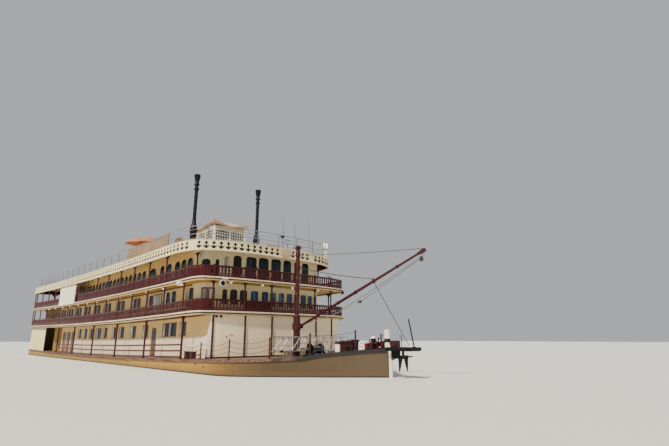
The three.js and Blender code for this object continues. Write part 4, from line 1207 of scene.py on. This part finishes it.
bm = bmesh.new()
lightBox = {"x": -13.62, "y": 6.75, "shoulder": 10.7, "top": 11.45}
x, y, shoulder, top = lightBox.values()
for half, low, high, finish in ((.13, roofTop, shoulder, 0), (.18, roofTop, roofTop + .16, 0),
                                (.22, shoulder, shoulder + .1, 1), (.17, shoulder + .1, top - .08, 2)):
    post(bm, x, y, half, (low, high), finish, .02)
for dx, dy in ((-.16, -.16), (-.16, .16), (.16, -.16), (.16, .16)):
    post(bm, x + dx, y + dy, .03, (shoulder + .08, top - .06), 1)
post(bm, x, y, .22, (top - .08, top), 1, .03)
finishPiece("roof_light_box", bm, ["white", "grey", "lamp"], slot="rail_grey")
print("roof fittings ready")

# rigging of the derrick
mast = {"x": -9.6, "bands": ((4.16, .3), (5.9, .195), (7.2, .195), (9.35, .2)), "rings": (8.05, 9.12), "eye": .27}
mastX = mast["x"]
bm = bmesh.new()
for z, radius in mast["bands"]:
    band(bm, (mastX, 0, z), .16, radius, .05, .02)
lathe(bm, (mastX, 0, 9.66), [(.17, 0), (.24, .01), (.25, .13), (.2, .2), (.1, .3), (0, .31)])
for c, s in circle(4, first=45):  # eyes of the mast band
    way = Vector((c, s, 0))
    place = Vector((mastX, 0, 9.75)) + way * mast["eye"]
    rod(bm, place - way * .06, place + way * .05, .03, 8)
    ball(bm, place + way * .07, .05)
finishPiece("kingpost_bands", bm, ["mast"], line=None)

bm = bmesh.new()  # rings that turn on the kingpost with the boom, for the lift and the stay
for z in mast["rings"]:
    tube(bm, (mastX, 0, z), .185, .23, -.06, .06)
    box(bm, (mastX + .2, mastX + .34), (-.02, .02), (z - .04, z + .04), edge=.012)
finishPiece("kingpost_rings", bm, ["mast"], body="swivel", line=None)

lift = {"eye": (-9.31, 0, 9.12), "tip": (2.94, 0, 7.98), "sag": .0875, "radius": .018}
bm = bmesh.new()
rods(bm, sagging(lift["eye"], lift["tip"], lift["sag"]), lift["radius"])
topping = finishPiece("topping_lift", bm, ["chain"], body=None, line=None)
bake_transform(topping)

boom = {"heel": (-9.12, 0, 3.38), "tip": (3.09, 0, 7.88), "head": 12.72,
        "bands": ((2.2, .115), (4.6, .13), (6.5, .14), (8.35, .14), (10.6, .12), (12.5, .105))}
boomAxis = (Vector(boom["tip"]) - Vector(boom["heel"])).normalized()
boomUp = Vector((-boomAxis.z, 0, boomAxis.x))


def onBoom(at, over=0):
    # a place on the boom, at metres from its heel and over above its axis
    return Vector(boom["heel"]) + boomAxis * at + boomUp * over


bm = bmesh.new()
for at, radius in boom["bands"]:
    part = bmesh.new()
    band(part, (0, 0, 0), .06, radius, .05, .012, 20)
    absorb(bm, part, 0, Matrix.Translation(onBoom(at)) @ boomAxis.to_track_quat("Z", "Y").to_matrix().to_4x4())
for at in (8.3, 8.42):
    rod(bm, onBoom(at, .12), onBoom(at, .19), .022, 8, finish=1)
rod(bm, onBoom(boom["head"], -.08), onBoom(boom["head"], -.26), .03, 8, finish=1)
block = onBoom(boom["head"], -.26) + Vector((-.12, 0, -.2))  # head block of the fall
post(bm, block.x, 0, (.1, .05), (block.z - .17, block.z + .17), 1, .03)
lathe(bm, (block.x, -.06, block.z), [(0, 0), (.13, 0), (.13, .03), (.1, .06), (.13, .09), (.13, .12), (0, .12)], 20, 1,
      axis="Y")
finishPiece("boom_fittings", bm, ["mast", "chain"], body="derrick", line=None)

fall = {"head": (2.66, 0, 7.36), "tackle": (-2.56, 0, 4.94), "radius": .016}
bm = bmesh.new()
head, tackle = Vector(fall["head"]), Vector(fall["tackle"])
rods(bm, [head + Vector((.05, .03, 0)), tackle + Vector((.1, .03, .05))], fall["radius"])
rods(bm, [head + Vector((-.05, -.03, 0)), (-1.2, -.03, 5.75), (-3.89, -.03, 4.63), (-8.75, -.08, 3.5)], fall["radius"])
box(bm, (tackle.x - .16, tackle.x + .12), (-.05, .05), (tackle.z - .09, tackle.z + .09), edge=.03)
rods(bm, [tackle + Vector((x, 0, z)) for x, z in ((-.14, -.03), (-.3, -.1), (-.33, -.02), (-.26, .05))], .022)
rods(bm, [tackle + Vector((-.14, .03, -.02)), (-5.5, .05, 4.1), (-8.75, .08, 3.52)], fall["radius"], finish=1)
rods(bm, [(-2.26, 0, 5.78), (-3.07, 0, 5.08), (-4.64, .02, 4.4)], fall["radius"] * .8, finish=1)
finishPiece("boom_fall", bm, ["chain", "rope"], body="derrick", line=None)

stay = {"at": 8.36, "mast": (-9.3, 0, 8.05), "sag": .125, "guyFoot": (1.58, -.05, 2.0), "radius": .026}
bm = bmesh.new()
rods(bm, sagging(onBoom(stay["at"], .17), stay["mast"], stay["sag"], 5), stay["radius"])
staying = finishPiece("boom_stay", bm, ["chain"], body=None, line=None)
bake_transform(staying)

bm = bmesh.new()  # guy from the boom, its hook just clear of the platform
top, foot = onBoom(stay["at"], -.14), Vector(stay["guyFoot"])
rods(bm, [top, top.lerp(foot, .96)], stay["radius"])
rods(bm, [top.lerp(foot, t) + Vector((x, 0, 0)) for t, x in ((.955, 0), (.975, .05), (.995, 0), (.99, -.08))], .02)
guy = finishPiece("boom_guy", bm, ["chain"], body=None, line=None)
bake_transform(guy)
print("rigging ready")


# foredeck fence: stanchions with three sagging chains
def deckAt(x):
    return boat["mainDeck"] + rise(x, hullLine) + .001


bm = bmesh.new()
fenceLine = {"marks": ((-14.2, 7.3, 2.0), (-11.65, 7.15, 2.11), (-8.1, 6.98, 2.3), (-5.7, 5.42, 2.45)),
             "bow": ((-5.7, 5.42, 2.45), (-3.8, 3.55, 2.71), (-1.6, 1.55, 2.9)), "drops": (.08, .40, .72), "sag": .22}
for hand in (-1, 1):
    marks = [Vector((x, -hand * y, top)) for x, y, top in fenceLine["marks"]]
    for x, y, top in marks[1:]:
        foot = deckAt(x)
        flange(bm, (x, y, foot), .14, .03, .06, .06)
        rod(bm, (x, y, foot + .02), (x, y, top), .05, 10)
        ball(bm, (x, y, top), .065)
    for a, b in zip(marks, marks[1:]):
        for drop in fenceLine["drops"]:
            rods(bm, sagging(a - up * drop, b - up * drop, fenceLine["sag"]), .016, 5, finish=1)
finishPiece("foredeck_fence", bm, ["mast", "chain"], slot="maroon_paint", line=None)

# foredeck gear: windlass with its motor box and lamp
deckFlat = boat["mainDeck"] + .001
bm = bmesh.new()
for x, half, z, finish, edge in (((-2.1, -.45), .5, (deckFlat, deckFlat + .07), 0, .01),
                                 ((-1.95, -1.18), .34, (deckFlat + .05, 1.12), 1, .02),
                                 ((-1.98, -1.15), .37, (1.06, 1.1), 1, .01),
                                 ((-.6, -.43), .32, (deckFlat, deckFlat + .5), 0, .03)):
    box(bm, x, (-half, half), z, finish, edge)
for y in (-.345, .345):
    post(bm, -1.575, y, (.175, .01), (.82, .98), edge=.005)
lathe(bm, (-1.42, 0, 1.12), [(0, 0), (.2, 0), (.2, .05), (.17, .07), (.17, .19), (.2, .21), (.2, .24), (0, .24)], 24, 2)
lathe(bm, (-1.42, 0, 1.36), [(0, 0), (.16, 0), (.155, .07), (.11, .14), (.05, .17), (0, .18)], 24, 3)
barrel = {"x": -.85, "z": .97, "whelp": .125}
lathe(bm, (barrel["x"], 0, barrel["z"]), [(0, -.42), (.2, -.42), (.2, -.38), (.13, -.34), (.115, 0), (.13, .34),
                                          (.2, .38), (.2, .42), (0, .42)], 24, 2, axis="Y")
drumEnd = [(0, .46), (.1, .46), (.14, .48), (.09, .52), (.08, .57), (.12, .62), (.13, .66), (0, .66)]
for hand in (-1, 1):
    lathe(bm, (barrel["x"], 0, barrel["z"]), [(radius, y * hand) for radius, y in drumEnd], 20, 2, axis="Y")
    cutBoard(bm, [(-1.12, .7), (-.58, .7), (-.7, 1.1), (-1.0, 1.1)], (hand * .42, hand * .46))
    for x in (-2, -.55):
        tube(bm, (x, hand * .43, .71), 0, .03, 0, .025, 6, 4)
for c, s in circle(8, barrel["whelp"]):  # whelps of the barrel
    x, z = barrel["x"] + c, barrel["z"] + s
    rod(bm, (x, -.33, z), (x, .33, z), .018, 6, finish=2)
finishPiece("windlass_gear", bm, ["maroon", "boxRed", "black", "white", "chain"], slot="locker_red", line=hullLine,
            replaces=["windlass"])

# stem head, bow platform and what stands on it
bm = bmesh.new()
lathe(bm, (-.2, 0, 2.44), [(.16, 0), (.2, .01), (.205, .06), (.19, .08), (.19, .46), (.2, .48), (.2, .52), (.14, .545),
                           (0, .55)])
lathe(bm, (-.2, 0, 2.2), [(.16, 0), (.19, 0), (.2, .08), (.19, .2), (.16, .2)], 24, 1)
for z in (.3, .9, 1.5):
    for y in (-.075, .075):
        post(bm, .06, y, (.04, .01), (z - .05, z + .05), edge=.005)
finishPiece("stem_head", bm, ["white", "black"], line=None)

bm = bmesh.new()
for i in range(9):  # planks, ends forward
    y = -.53 + .118 * i
    box(bm, (.16, 2.0), (y + .004, y + .114), (1.8805, 1.8915), finish=1)
for y in (-.57, .57):
    box(bm, (.15, 2.05), (y - .02, y + .02), (1.72, 1.9), edge=.006)
box(bm, (2.02, 2.06), (-.59, .59), (1.72, 1.9), edge=.006)
post(bm, .43, 0, (.19, .32), (1.893, 2.3), 2, .03)
post(bm, .43, 0, (.21, .34), (2.2, 2.24), 2, .01)
rod(bm, (1.2, -.3, 1.892), (1.2, -.3, 2.66), .022)
rod(bm, (1.56, -.3, 1.892), (1.02, -.3, 2.62), .015, 6, finish=3)
lathe(bm, (1.94, 0, 1.893), [(.05, 0), (.12, 0), (.12, .025), (.07, .05), (.05, .05)], 20)
rod(bm, (.16, 0, 1.12), (.78, 0, 1.3), .045)
for x in (.3, .9, 1.5):
    for y in (-.592, .592):
        rod(bm, (x, y - .006, 1.81), (x, y + .006, 1.81), .025, 6)
for i in range(7):  # chain from the platform to the anchor's crown
    post(bm, 1.11, 0, (.02, .03) if i % 2 else (.04, .012), (1.28 + .05 * i, 1.35 + .05 * i), 3)
finishPiece("bow_platform_gear", bm, ["black", "plank", "maroon", "chain"], line=None)

# foredeck: bitts, fairleads, a vent, bow posts and their wires
bm = bmesh.new()
for hand in (-1, 1):
    marks = [Vector((x, hand * y, top)) for x, y, top in fenceLine["bow"]]
    for x, y, top in marks[1:]:
        foot = deckAt(x)
        rod(bm, (x, y, foot + .01), (x, y, top), .055, 10)
        flange(bm, (x, y, foot), .15, .03, .07, .06)
        ball(bm, (x, y, top), .07)
    for a, b in zip(marks, marks[1:]):
        for drop in (.08, .5):
            rods(bm, sagging(a - up * drop, b - up * drop, .1, 2), .014, finish=1)
    for x, y, step, foot, kind, size in ((-2.15, 1.75, .42, deckAt(-2.15), 2, .15),
                                         (-14.1, 6.95, .95, boat["mainDeck"] + rise(-14.1) + .012, 0, .27)):
        box(bm, (x - size, x + step + size), (hand * (y - size), hand * (y + size)), (foot, foot + .04), kind, .01)
        for at in (x, x + step):  # twin bollards
            profile = [(0, 0), (.8, 0), (.8, 1.5), (1, 1.6), (1, 1.85), (0, 1.9)]
            lathe(bm, (at, hand * y, foot + .03), [(size * a, size * b) for a, b in profile], 20, kind)
    low, high = foot + .5, foot + .95
    rods(bm, [(x, hand * y, low), (x, hand * y, high), (x + step, hand * y, high), (x + step, hand * y, low)], .035, 8,
         finish=3)
    arc = [(-3.3 + .3 * c, hand * (3.2 - .3 * c), deckAt(-3.3) + .03 + .2 * s) for c, s in circle(18)[9::-1]]
    rods(bm, arc, .05, 8, finish=2)
    foot = deckAt(-1.0)
    box(bm, (-1.25, -.75), (hand * .62, hand * 1.02), (foot, foot + .08), finish=2, edge=.02)
    for x in (-1.15, -.85):  # fairlead rollers
        lathe(bm, (x, hand * .82, foot + .08), [(0, 0), (.09, 0), (.06, .06), (.06, .2), (.09, .26), (0, .27)], 16, 2)
foot = deckAt(-6)
lathe(bm, (-6, 1.15, foot), [(0, 0), (.3, 0), (.3, .05), (.25, .07), (.25, .86), (.22, .9), (0, .9)], 24, 3)
lathe(bm, (-6, 1.15, foot + .88), [(0, 0), (.29, 0), (.29, .07), (.16, .16), (0, .18)], 24, 4)
box(bm, (-9.05, -8.95), (-1.1, 2.1), (1.27, 1.37), finish=2, edge=.015)
box(bm, (-8.3, -8.2), (-.8, -.2), (1.6, 1.7), finish=2, edge=.02)
finishPiece("foredeck_fittings", bm, ["maroon", "chain", "black", "white", "locker"], line=None)

bm = bmesh.new()  # fittings of the locker
for x in (-4.9, -4.5, -4.1):
    box(bm, (x - .04, x + .04), (.43, .455), (.68, 1.52), edge=.006)
    box(bm, (x - .03, x + .03), (.37, .4), (1.5, 1.6), finish=1, edge=.006)
for y in (.55, .8, 1.05):
    box(bm, (-3.905, -3.88), (y - .04, y + .04), (.68, 1.52), edge=.006)
rods(bm, [(x, y, 1.3) for x, y in ((-3.88, .66), (-3.8, .66), (-3.8, .94), (-3.88, .94))], .018, 8, finish=1)
box(bm, (-5.17, -3.83), (.38, 1.22), (1.655, 1.675), finish=2, edge=.008)
finishPiece("locker_fittings", bm, ["locker", "chain", "black"], line=hullLine)

# winch of the derrick
winch = {"x": -7.35, "z": 1.19, "gear": .52, "teeth": 28, "gearRadius": .42}
bm = bmesh.new()
x, z, gear = winch["x"], winch["z"], winch["gear"]
box(bm, (-7.85, -6.85), (-.75, .75), (deckFlat, deckFlat + .1), edge=.015)
lathe(bm, (x, 0, z), [(0, -.5), (.38, -.5), (.38, -.45), (.2, -.42), (.2, .42), (.38, .45), (.38, .5), (0, .5)], 32, 0,
      axis="Y")
for i in range(19):
    lathe(bm, (x, -.42 + .044 * i, z), [(.19, 0), (.222, .006), (.232, .022), (.222, .038), (.19, .044)], 20, 1,
          axis="Y")
for hand in (-1, 1):
    cutBoard(bm, [(-7.7, .74), (-7.0, .74), (-7.18, 1.5), (-7.27, 1.6), (-7.43, 1.6), (-7.52, 1.5)],
             (hand * .6, hand * .68), [[(-7.5, .84), (-7.2, .84), (-7.3, 1.02), (-7.4, 1.02)]])
    lathe(bm, (x, hand * .68, z), [(0, 0), (.1, 0), (.1, .05 * hand), (0, .06 * hand)], 16, 2, axis="Y")
for c, s in circle(winch["teeth"], winch["gearRadius"]):
    rod(bm, (x + c, gear, z + s), (x + c, gear + .05, z + s), .025, 5, finish=2)
tube(bm, (x, gear, z), .36, winch["gearRadius"], 0, .05, 28, 2, axis="Y")
for c, s in circle(4, .38, 45):
    rod(bm, (x, gear + .025, z), (x + c, gear + .025, z + s), .03, 6, finish=2)
lathe(bm, (-7.72, 0, .98), [(0, -.3), (.15, -.3), (.17, -.27), (.17, .27), (.15, .3), (0, .3)], 20, 3, axis="Y")
for i in range(9):
    lathe(bm, (-7.72, -.22 + .05 * i, .98), [(.16, 0), (.185, 0), (.185, .015), (.16, .015)], 20, 3, axis="Y")
rods(bm, [(-6.95, .35, .75), (-6.92, .35, 1.7), (-6.86, .35, 1.95)], .025, 8, finish=2)
ball(bm, (-6.86, .35, 1.97), .05, finish=3)
rods(bm, [(-6.98, -.35, .75), (-7.0, -.35, 1.55), (-7.1, -.35, 1.66)], .022, 8, finish=2)
finishPiece("winch_gear", bm, ["black", "chain", "steel", "maroon"], line=hullLine, replaces=["derrick_winch"])

# gangway: treads, uprights, hand rail caps and wheels
gangway = {"middle": -8.6, "half": .4, "start": -2.75, "length": 7.1, "treads": 24, "tread": .305, "uprights": 9}
bm = bmesh.new()
for i in range(gangway["treads"]):
    post(bm, gangway["middle"], gangway["start"] + gangway["tread"] * i, (.36, .02), (1.49, 1.515), 1)
for x in (gangway["middle"] - gangway["half"], gangway["middle"] + gangway["half"]):
    for i in range(gangway["uprights"]):
        y = gangway["start"] + gangway["length"] * i / (gangway["uprights"] - 1)
        rod(bm, (x, y, 1.5), (x, y, 2.5), .024, 6)
    box(bm, (x - .045, x + .045), (-2.8, 4.4), (2.551, 2.575), edge=.008)
    for y in (-2.72, 4.32):
        post(bm, x, y, (.05, .06), (1.42, 1.6), edge=.01)
    lathe(bm, (x + (.05 if x > -8.5 else -.09), -2.55, 1.5), [(0, 0), (.1, 0), (.12, .02), (.1, .04), (0, .04)], 20, 2,
          axis="X")
finishPiece("gangway_fittings", bm, ["aluminium", "plank", "shade"], line=None)
print("foredeck ready")


# hull: bolts of the rubbing strake, overboard outlets
def boltHead(profile, axis):
    bolt = bmesh.new()
    lathe(bolt, (0, 0, 0), profile, 6, axis=axis)
    return toMesh(bolt)


strake = {"y": 7.581, "z": .535, "firstBolt": -9.6, "bolts": 72, "spacing": .75}
outlets = ((-11.69, .34), (-10.5, .1), (-24.5, .32), (-38, .32), (-52, .32))
bm = bmesh.new()
bolt = boltHead([(.03, -.01), (.03, .012), (.015, .022), (0, .022)], "Y")
for hand in (-1, 1):
    outward = 0 if hand > 0 else math.pi
    for i in range(strake["bolts"]):
        place = (strake["firstBolt"] - strake["spacing"] * i, hand * strake["y"], strake["z"])
        stamp(bm, bolt, place, turn=outward)
    for x, z in outlets:
        part = bmesh.new()
        tube(part, (0, 0, 0), .05, .09, -.02, .02, 20, 0, axis="Y")
        tube(part, (0, 0, 0), 0, .06, 0, .012, 16, 1, axis="Y")
        absorb(bm, part, None, Matrix.Translation((x, hand * 7.5, z)) @ Matrix.Rotation(outward, 4, "Z"))
finishPiece("hull_fittings", bm, ["strake", "shade"], line=hullLine)

# hinged doors: panels, pane, hinges and handle, on each leaf
door = {"outer": 6.29, "hinges": (1.15, 2.05, 3.05), "panels": (
    ((-21.72, -22.43), (1.0, 1.3), .012), ((-21.72, -22.04), (1.4, 2.15), .012), ((-22.11, -22.43), (1.4, 2.15), .012),
    ((-21.72, -21.78), (2.28, 3.2), .008), ((-22.37, -22.43), (2.28, 3.2), .008),
    ((-21.72, -22.43), (2.28, 2.34), .008), ((-21.72, -22.43), (3.14, 3.2), .008))}
for side, hand in sides:
    bm = bmesh.new()
    outer = door["outer"]
    y0 = hand * (outer - .005)
    for x, z, edge in door["panels"]:
        box(bm, x, (y0, hand * (outer + .022)), z, edge=edge)
    box(bm, (-21.77, -22.38), (y0, hand * (outer + .008)), (2.33, 3.15), finish=1)
    box(bm, (-21.66, -22.49), (y0, hand * (outer + .01)), (.89, .98), finish=2, edge=.003)
    for z in door["hinges"]:
        box(bm, (-21.63, -21.76), (y0, hand * (outer + .012)), (z - .05, z + .05), finish=2, edge=.003)
    handle = ((-22.46, -.01), (-22.46, .06), (-22.34, .06))
    rods(bm, [(x, hand * (outer + proud), 2.05) for x, proud in handle], .016, 8, finish=2)
    finishPiece(f"door_fittings_{side}", bm, ["door", "glass", "brass"], body="door_s" if hand < 0 else "door_p",
                line=None)

# paddle wheel: bolted floats, rim straps, hub flanges
wheel = {"x": -60.3, "z": 2.6, "floats": 16, "rings": (-3.15, 0, 3.15), "stays": 8, "stayRadius": 2.3}
bm = bmesh.new()
bolt = boltHead([(.035, -.005), (.035, .02), (.018, .03), (0, .03)], "X")
for i in range(wheel["floats"]):
    part = bmesh.new()
    for y in wheel["rings"]:
        for step in (-.12, .12):
            for r in (2.85, 3.2):
                stamp(part, bolt, (.08, y + step if abs(y + step) < 3.25 else y - step * .6, r))
        box(part, (.08, .1), (y - .045, y + .045), (2.72, 3.42), edge=.004)
    for y in (-2.1, -1.05, 1.05, 2.1):
        box(part, (.08, .098), (y - .03, y + .03), (2.7, 3.4), edge=.004)
    turn = Matrix.Rotation(2 * math.pi * i / wheel["floats"], 4, "Y")
    absorb(bm, part, None, Matrix.Translation((wheel["x"], 0, wheel["z"])) @ turn)
for y in wheel["rings"]:
    for hand in (-1, 1):
        tube(bm, (wheel["x"], y + hand * .075, wheel["z"]), .2, .42, -.012, .012, 32, 1, axis="Y")
        tube(bm, (wheel["x"], y + hand * .068, wheel["z"]), 3.02, 3.13, -.007, .007, 32, 1, axis="Y")
stays = circle(wheel["stays"], wheel["stayRadius"], 180 / wheel["stays"])
for (c0, s0), (c1, s1) in zip(stays, stays[1:] + stays[:1]):  # cross stays between the wheel's rings
    for a, b in ((-3.08, -.08), (3.08, .08)):
        rod(bm, (wheel["x"] + s0, a, wheel["z"] + c0), (wheel["x"] + s1, b, wheel["z"] + c1), .02, 6, finish=1)
finishPiece("wheel_fittings", bm, ["wheel", "chain"], body="stern_wheel", line=None)

# rudders: straps and their bolts
rudder = {"y": 5.6, "straps": (-.95, -.64)}
for side, hand in sides:
    bm = bmesh.new()
    y = hand * rudder["y"]
    for z in rudder["straps"]:
        box(bm, (-60.97, -62.9), (y - .058, y + .058), (z - .04, z + .04), edge=.006)
        for i in range(6):
            x = -61.2 - .3 * i
            rod(bm, (x, y - .066, z), (x, y + .066, z), .016, 6)
    finishPiece(f"rudder_straps_{side}", bm, ["chain"], body="rudder_s" if hand < 0 else "rudder_p", line=None)

# side boards: a plain moulded frame round the blank face
sideBoard = {"face": 7.86, "frame": 7.9, "seams": (-44.6, -46.8), "bars": (
    ((-42.4, -49), (8.6, 8.7)), ((-42.4, -49), (6.455, 6.555)), ((-42.4, -42.5), (6.5, 8.66)),
    ((-48.9, -49), (6.5, 8.66)))}
for side, hand in sides:
    bm = bmesh.new()
    face = hand * sideBoard["face"]
    for x, z in sideBoard["bars"]:
        box(bm, x, (face, hand * sideBoard["frame"]), z, edge=.012)
    for x in sideBoard["seams"]:
        box(bm, (x - .02, x + .02), (face, hand * 7.878), (6.55, 8.6), edge=.005)
    finishPiece(f"side_board_frame_{side}", bm, ["white"])
print("fittings ready")

# lamps: under the decks, on the front's edges and on the screen
bm = bmesh.new()
deckLamp = {"first": -15.8, "y": 7.0, "levels": (3.9, 6.44, 9.26), "count": 14}
ceilingLamps = [(deckLamp["first"] - gallery["bay"] * i, hand * deckLamp["y"], low)
                for low in deckLamp["levels"] for i in range(deckLamp["count"]) for hand in (-1, 1)]
ceilingLamps += [(x, y, low) for y in (-4.6, -1.6, 1.6, 4.6) for x, low in ((-12.2, 3.9), (-12.25, 6.44))]
for place in ceilingLamps:
    lathe(bm, place, [(0, 0), (.13, 0), (.13, -.03), (.1, -.035)], 16)
    lathe(bm, place, [(.1, -.03), (.09, -.08), (.05, -.11), (0, -.12)], 16, 1)
lamp = Vector((frontX(deckFront, -6) + .2, -6.0, 6.1))  # round lamp under the third deck's edge
lathe(bm, lamp, [(0, -.16), (.12, -.14), (.19, -.02), (.19, .08), (.17, .1), (0, .08)], 24, 2, axis="X")
tube(bm, lamp, .19, .25, 0, .07, axis="X")
rod(bm, lamp + Vector((-.02, 0, .15)), (lamp.x - .02, lamp.y, 6.46), .03, finish=2)
lamp = Vector((-14.3, -7.95, 6.28))
lathe(bm, lamp, [(0, -.22), (.14, -.2), (.2, -.05), (.2, .12), (.17, .16), (0, .14)], 24, 0, axis="X")
rod(bm, lamp + Vector((0, .05, .15)), (lamp.x, -7.78, 6.47), .03, finish=2)
x = frontX(deckFront, -5.75)
box(bm, (x, x + .14), (-5.98, -5.52), (6.42, 6.53), edge=.02)
x = frontX(deckFront, -1.2)
box(bm, (x + .02, x + .2), (-1.42, -1.02), (6.33, 6.44), finish=3, edge=.02)
for y in (4.7, -3.2):  # small goose-neck lamps over the rail
    x = frontX(deckFront, y)
    rods(bm, [(x - .1, y, 7.5), (x + .1, y, 7.62), (x + .3, y, 7.56)], .02, 8, finish=2)
    lathe(bm, (x + .3, y, 7.44), [(.09, 0), (.05, .08), (.02, .12), (0, .12)], 16, 2)
x = frontX(deckFront, 6.7)
lathe(bm, (x + .02, 6.75, 6.2), [(0, 0), (.05, 0), (.06, .12), (.16, .3), (.14, .3), (0, .14)], 20, 2, axis="X")
rod(bm, (x + .05, 6.75, 6.24), (x + .05, 6.75, 6.46), .025, finish=2)
for y in (-6.12, -5.78):  # twin spot lamps on the screen
    x = frontX(screenFront, y)
    lathe(bm, (x + .03, y, 3.66), [(0, 0), (.05, 0), (.085, .06), (.085, .16), (.07, .16), (0, .12)], 16, 2, axis="X")
    box(bm, (x - .02, x + .06), (y - .03, y + .03), (3.6, 3.74), finish=2)
for y, z, radius in ((-5.2, 2.2, .09), (-4.88, 2.32, .07), (-4.72, 2.3, .06), (-4.95, 2.08, .05)):  # rusty patches
    ball(bm, (frontX(screenFront, y) + .008, y, z), radius, 4, size=(.14, 1, 1))
finishPiece("deck_lamps", bm, ["white", "lamp", "black", "grey", "rust"])

# after end of the third deck's house: doors and windows on the terrace
aftPath = makePath([(thirdAft, boat["halfHouse"]), (thirdAft, -boat["halfHouse"])])
bm = bmesh.new()
fit(bm, doorUnit(1.7, 6.62, 8.6), boat["halfHouse"])
for s in (2.0, 4.0, 8.6, 10.6):
    fit(bm, windowUnit(.9, 7.1, 8.6, .45, .05, .05), s)
trim(bm, aftPath, .03, (6.591, 6.75))
bend(bm, aftPath)
finishPiece("third_house_aft_windows", bm, ["cream", "glass", "door"])

# canvas on the roof rail, cut 4.67 by .61 m at the model's size, laced by its top edge
canvas = {"start": -18, "end": -18 - 28 / 3, "low": 9.68, "high": 10.9, "y": -7.524, "thick": .012, "columns": 96,
          "rows": 12, "eyelets": 16}


def canvasX(u):
    return canvas["start"] + (canvas["end"] - canvas["start"]) * u


bm = bmesh.new()
rows = []
for v in [j / canvas["rows"] for j in range(canvas["rows"] + 1)]:
    row = []
    for u in [i / canvas["columns"] for i in range(canvas["columns"] + 1)]:
        between = abs(math.sin(math.pi * u * canvas["eyelets"]))
        z = canvas["low"] + (canvas["high"] - canvas["low"]) * v - .025 * between * v
        wave = .007 * math.sin(23 * u + 2 * v) + .006 * math.sin(61 * u + 4 * v) + .004 * math.sin(9 * v)
        row.append(bm.verts.new((canvasX(u), canvas["y"] - abs(wave) * (1.2 - .6 * v), z)))
    rows.append(row)
for low, high in zip(rows, rows[1:]):
    for i in range(canvas["columns"]):
        bm.faces.new((low[i], low[i + 1], high[i + 1], high[i]))
pull(bm, bm.faces[:], (0, -canvas["thick"], 0))
faceOut(bm)
cloth = finishPiece("rail_canvas_cloth", bm, ["canvas"], replaces=["rail_canvas"], sharp=60)
bm = bmesh.new()
for i in range(canvas["eyelets"] + 1):
    x = canvasX(i / canvas["eyelets"])
    loop = [(-7.55, 10.86), (-7.56, 10.94), (-7.52, 11.02), (-7.46, 11.025), (-7.43, 10.97), (-7.45, 10.92),
            (-7.5, 10.86)]
    rods(bm, [(x, y, z) for y, z in loop], .012)
    tube(bm, (x, -7.556, 10.85), .012, .028, 0, .01, 12, 1, axis="Y")
lacing = finishPiece("rail_canvas_lacing", bm, ["rope", "brass"])

# parasols: eight-sided canopy on ribs, its stand on the roof
parasol = {"radius": 1.35, "drop": .7, "points": 48, "rings": 7, "thick": .012}
for name, (x, y, height) in {"fore": (-25.45, -6.2, 2.6), "aft": (-28.3, -6.2, 3.0)}.items():
    foot = boat["roof"] + rise(x + .3) + .001
    top = foot + height
    bm = bmesh.new()
    lathe(bm, (x, y, foot), [(0, 0), (.3, 0), (.3, .06), (.24, .1), (.06, .13), (.05, .3), (0, .3)])
    rod(bm, (x, y, foot + .1), (x, y, top + .02), .03, 10, finish=1)
    lathe(bm, (x, y, top - .02), [(0, 0), (.05, 0), (.05, .04), (.025, .07), (.035, .11), (0, .15)], 12, finish=1)
    tube(bm, (x, y, top - .62), .03, .06, 0, .08, 12, 1)
    for c, s in circle(8):
        start = Vector((x + c * .03, y + s * .03, top - .1))
        tip = Vector((x + c * (parasol["radius"] - .02), y + s * (parasol["radius"] - .02), top - .73))
        rod(bm, start, tip, .012, 6, finish=1)
        rod(bm, (x, y, top - .58), start.lerp(tip, .48), .01, 6, finish=1)
    finishPiece(f"parasol_stand_{name}", bm, ["machine", "aluminium"], line=None)
    bm = bmesh.new()
    rings = []
    for j in range(parasol["rings"] + 1):
        share = .035 + .965 * j / parasol["rings"]
        ring = []
        for i, (c, s) in enumerate(circle(parasol["points"], parasol["radius"] * share)):
            between = abs(math.sin(8 * math.pi * i / parasol["points"]))
            reach = 1 - .07 * between
            drop = parasol["drop"] * share + .12 * between * share * (1 - share)
            if j == parasol["rings"]:
                drop += .03 * (1 - between)
            ring.append(bm.verts.new((x + c * reach, y + s * reach, top - drop)))
        rings.append(ring)
    for inner, outer in zip(rings, rings[1:]):
        for i in range(parasol["points"]):
            after = (i + 1) % parasol["points"]
            bm.faces.new((inner[i], outer[i], outer[after], inner[after]))
    bm.faces.new(rings[0])
    faceOut(bm)
    pull(bm, bm.faces[:], (0, 0, parasol["thick"]))
    faceOut(bm)
    canopy = finishPiece(f"parasol_canopy_{name}", bm, ["orange"], line=None, sharp=60, replaces=[f"parasol_{name}"])
print("cloth ready")
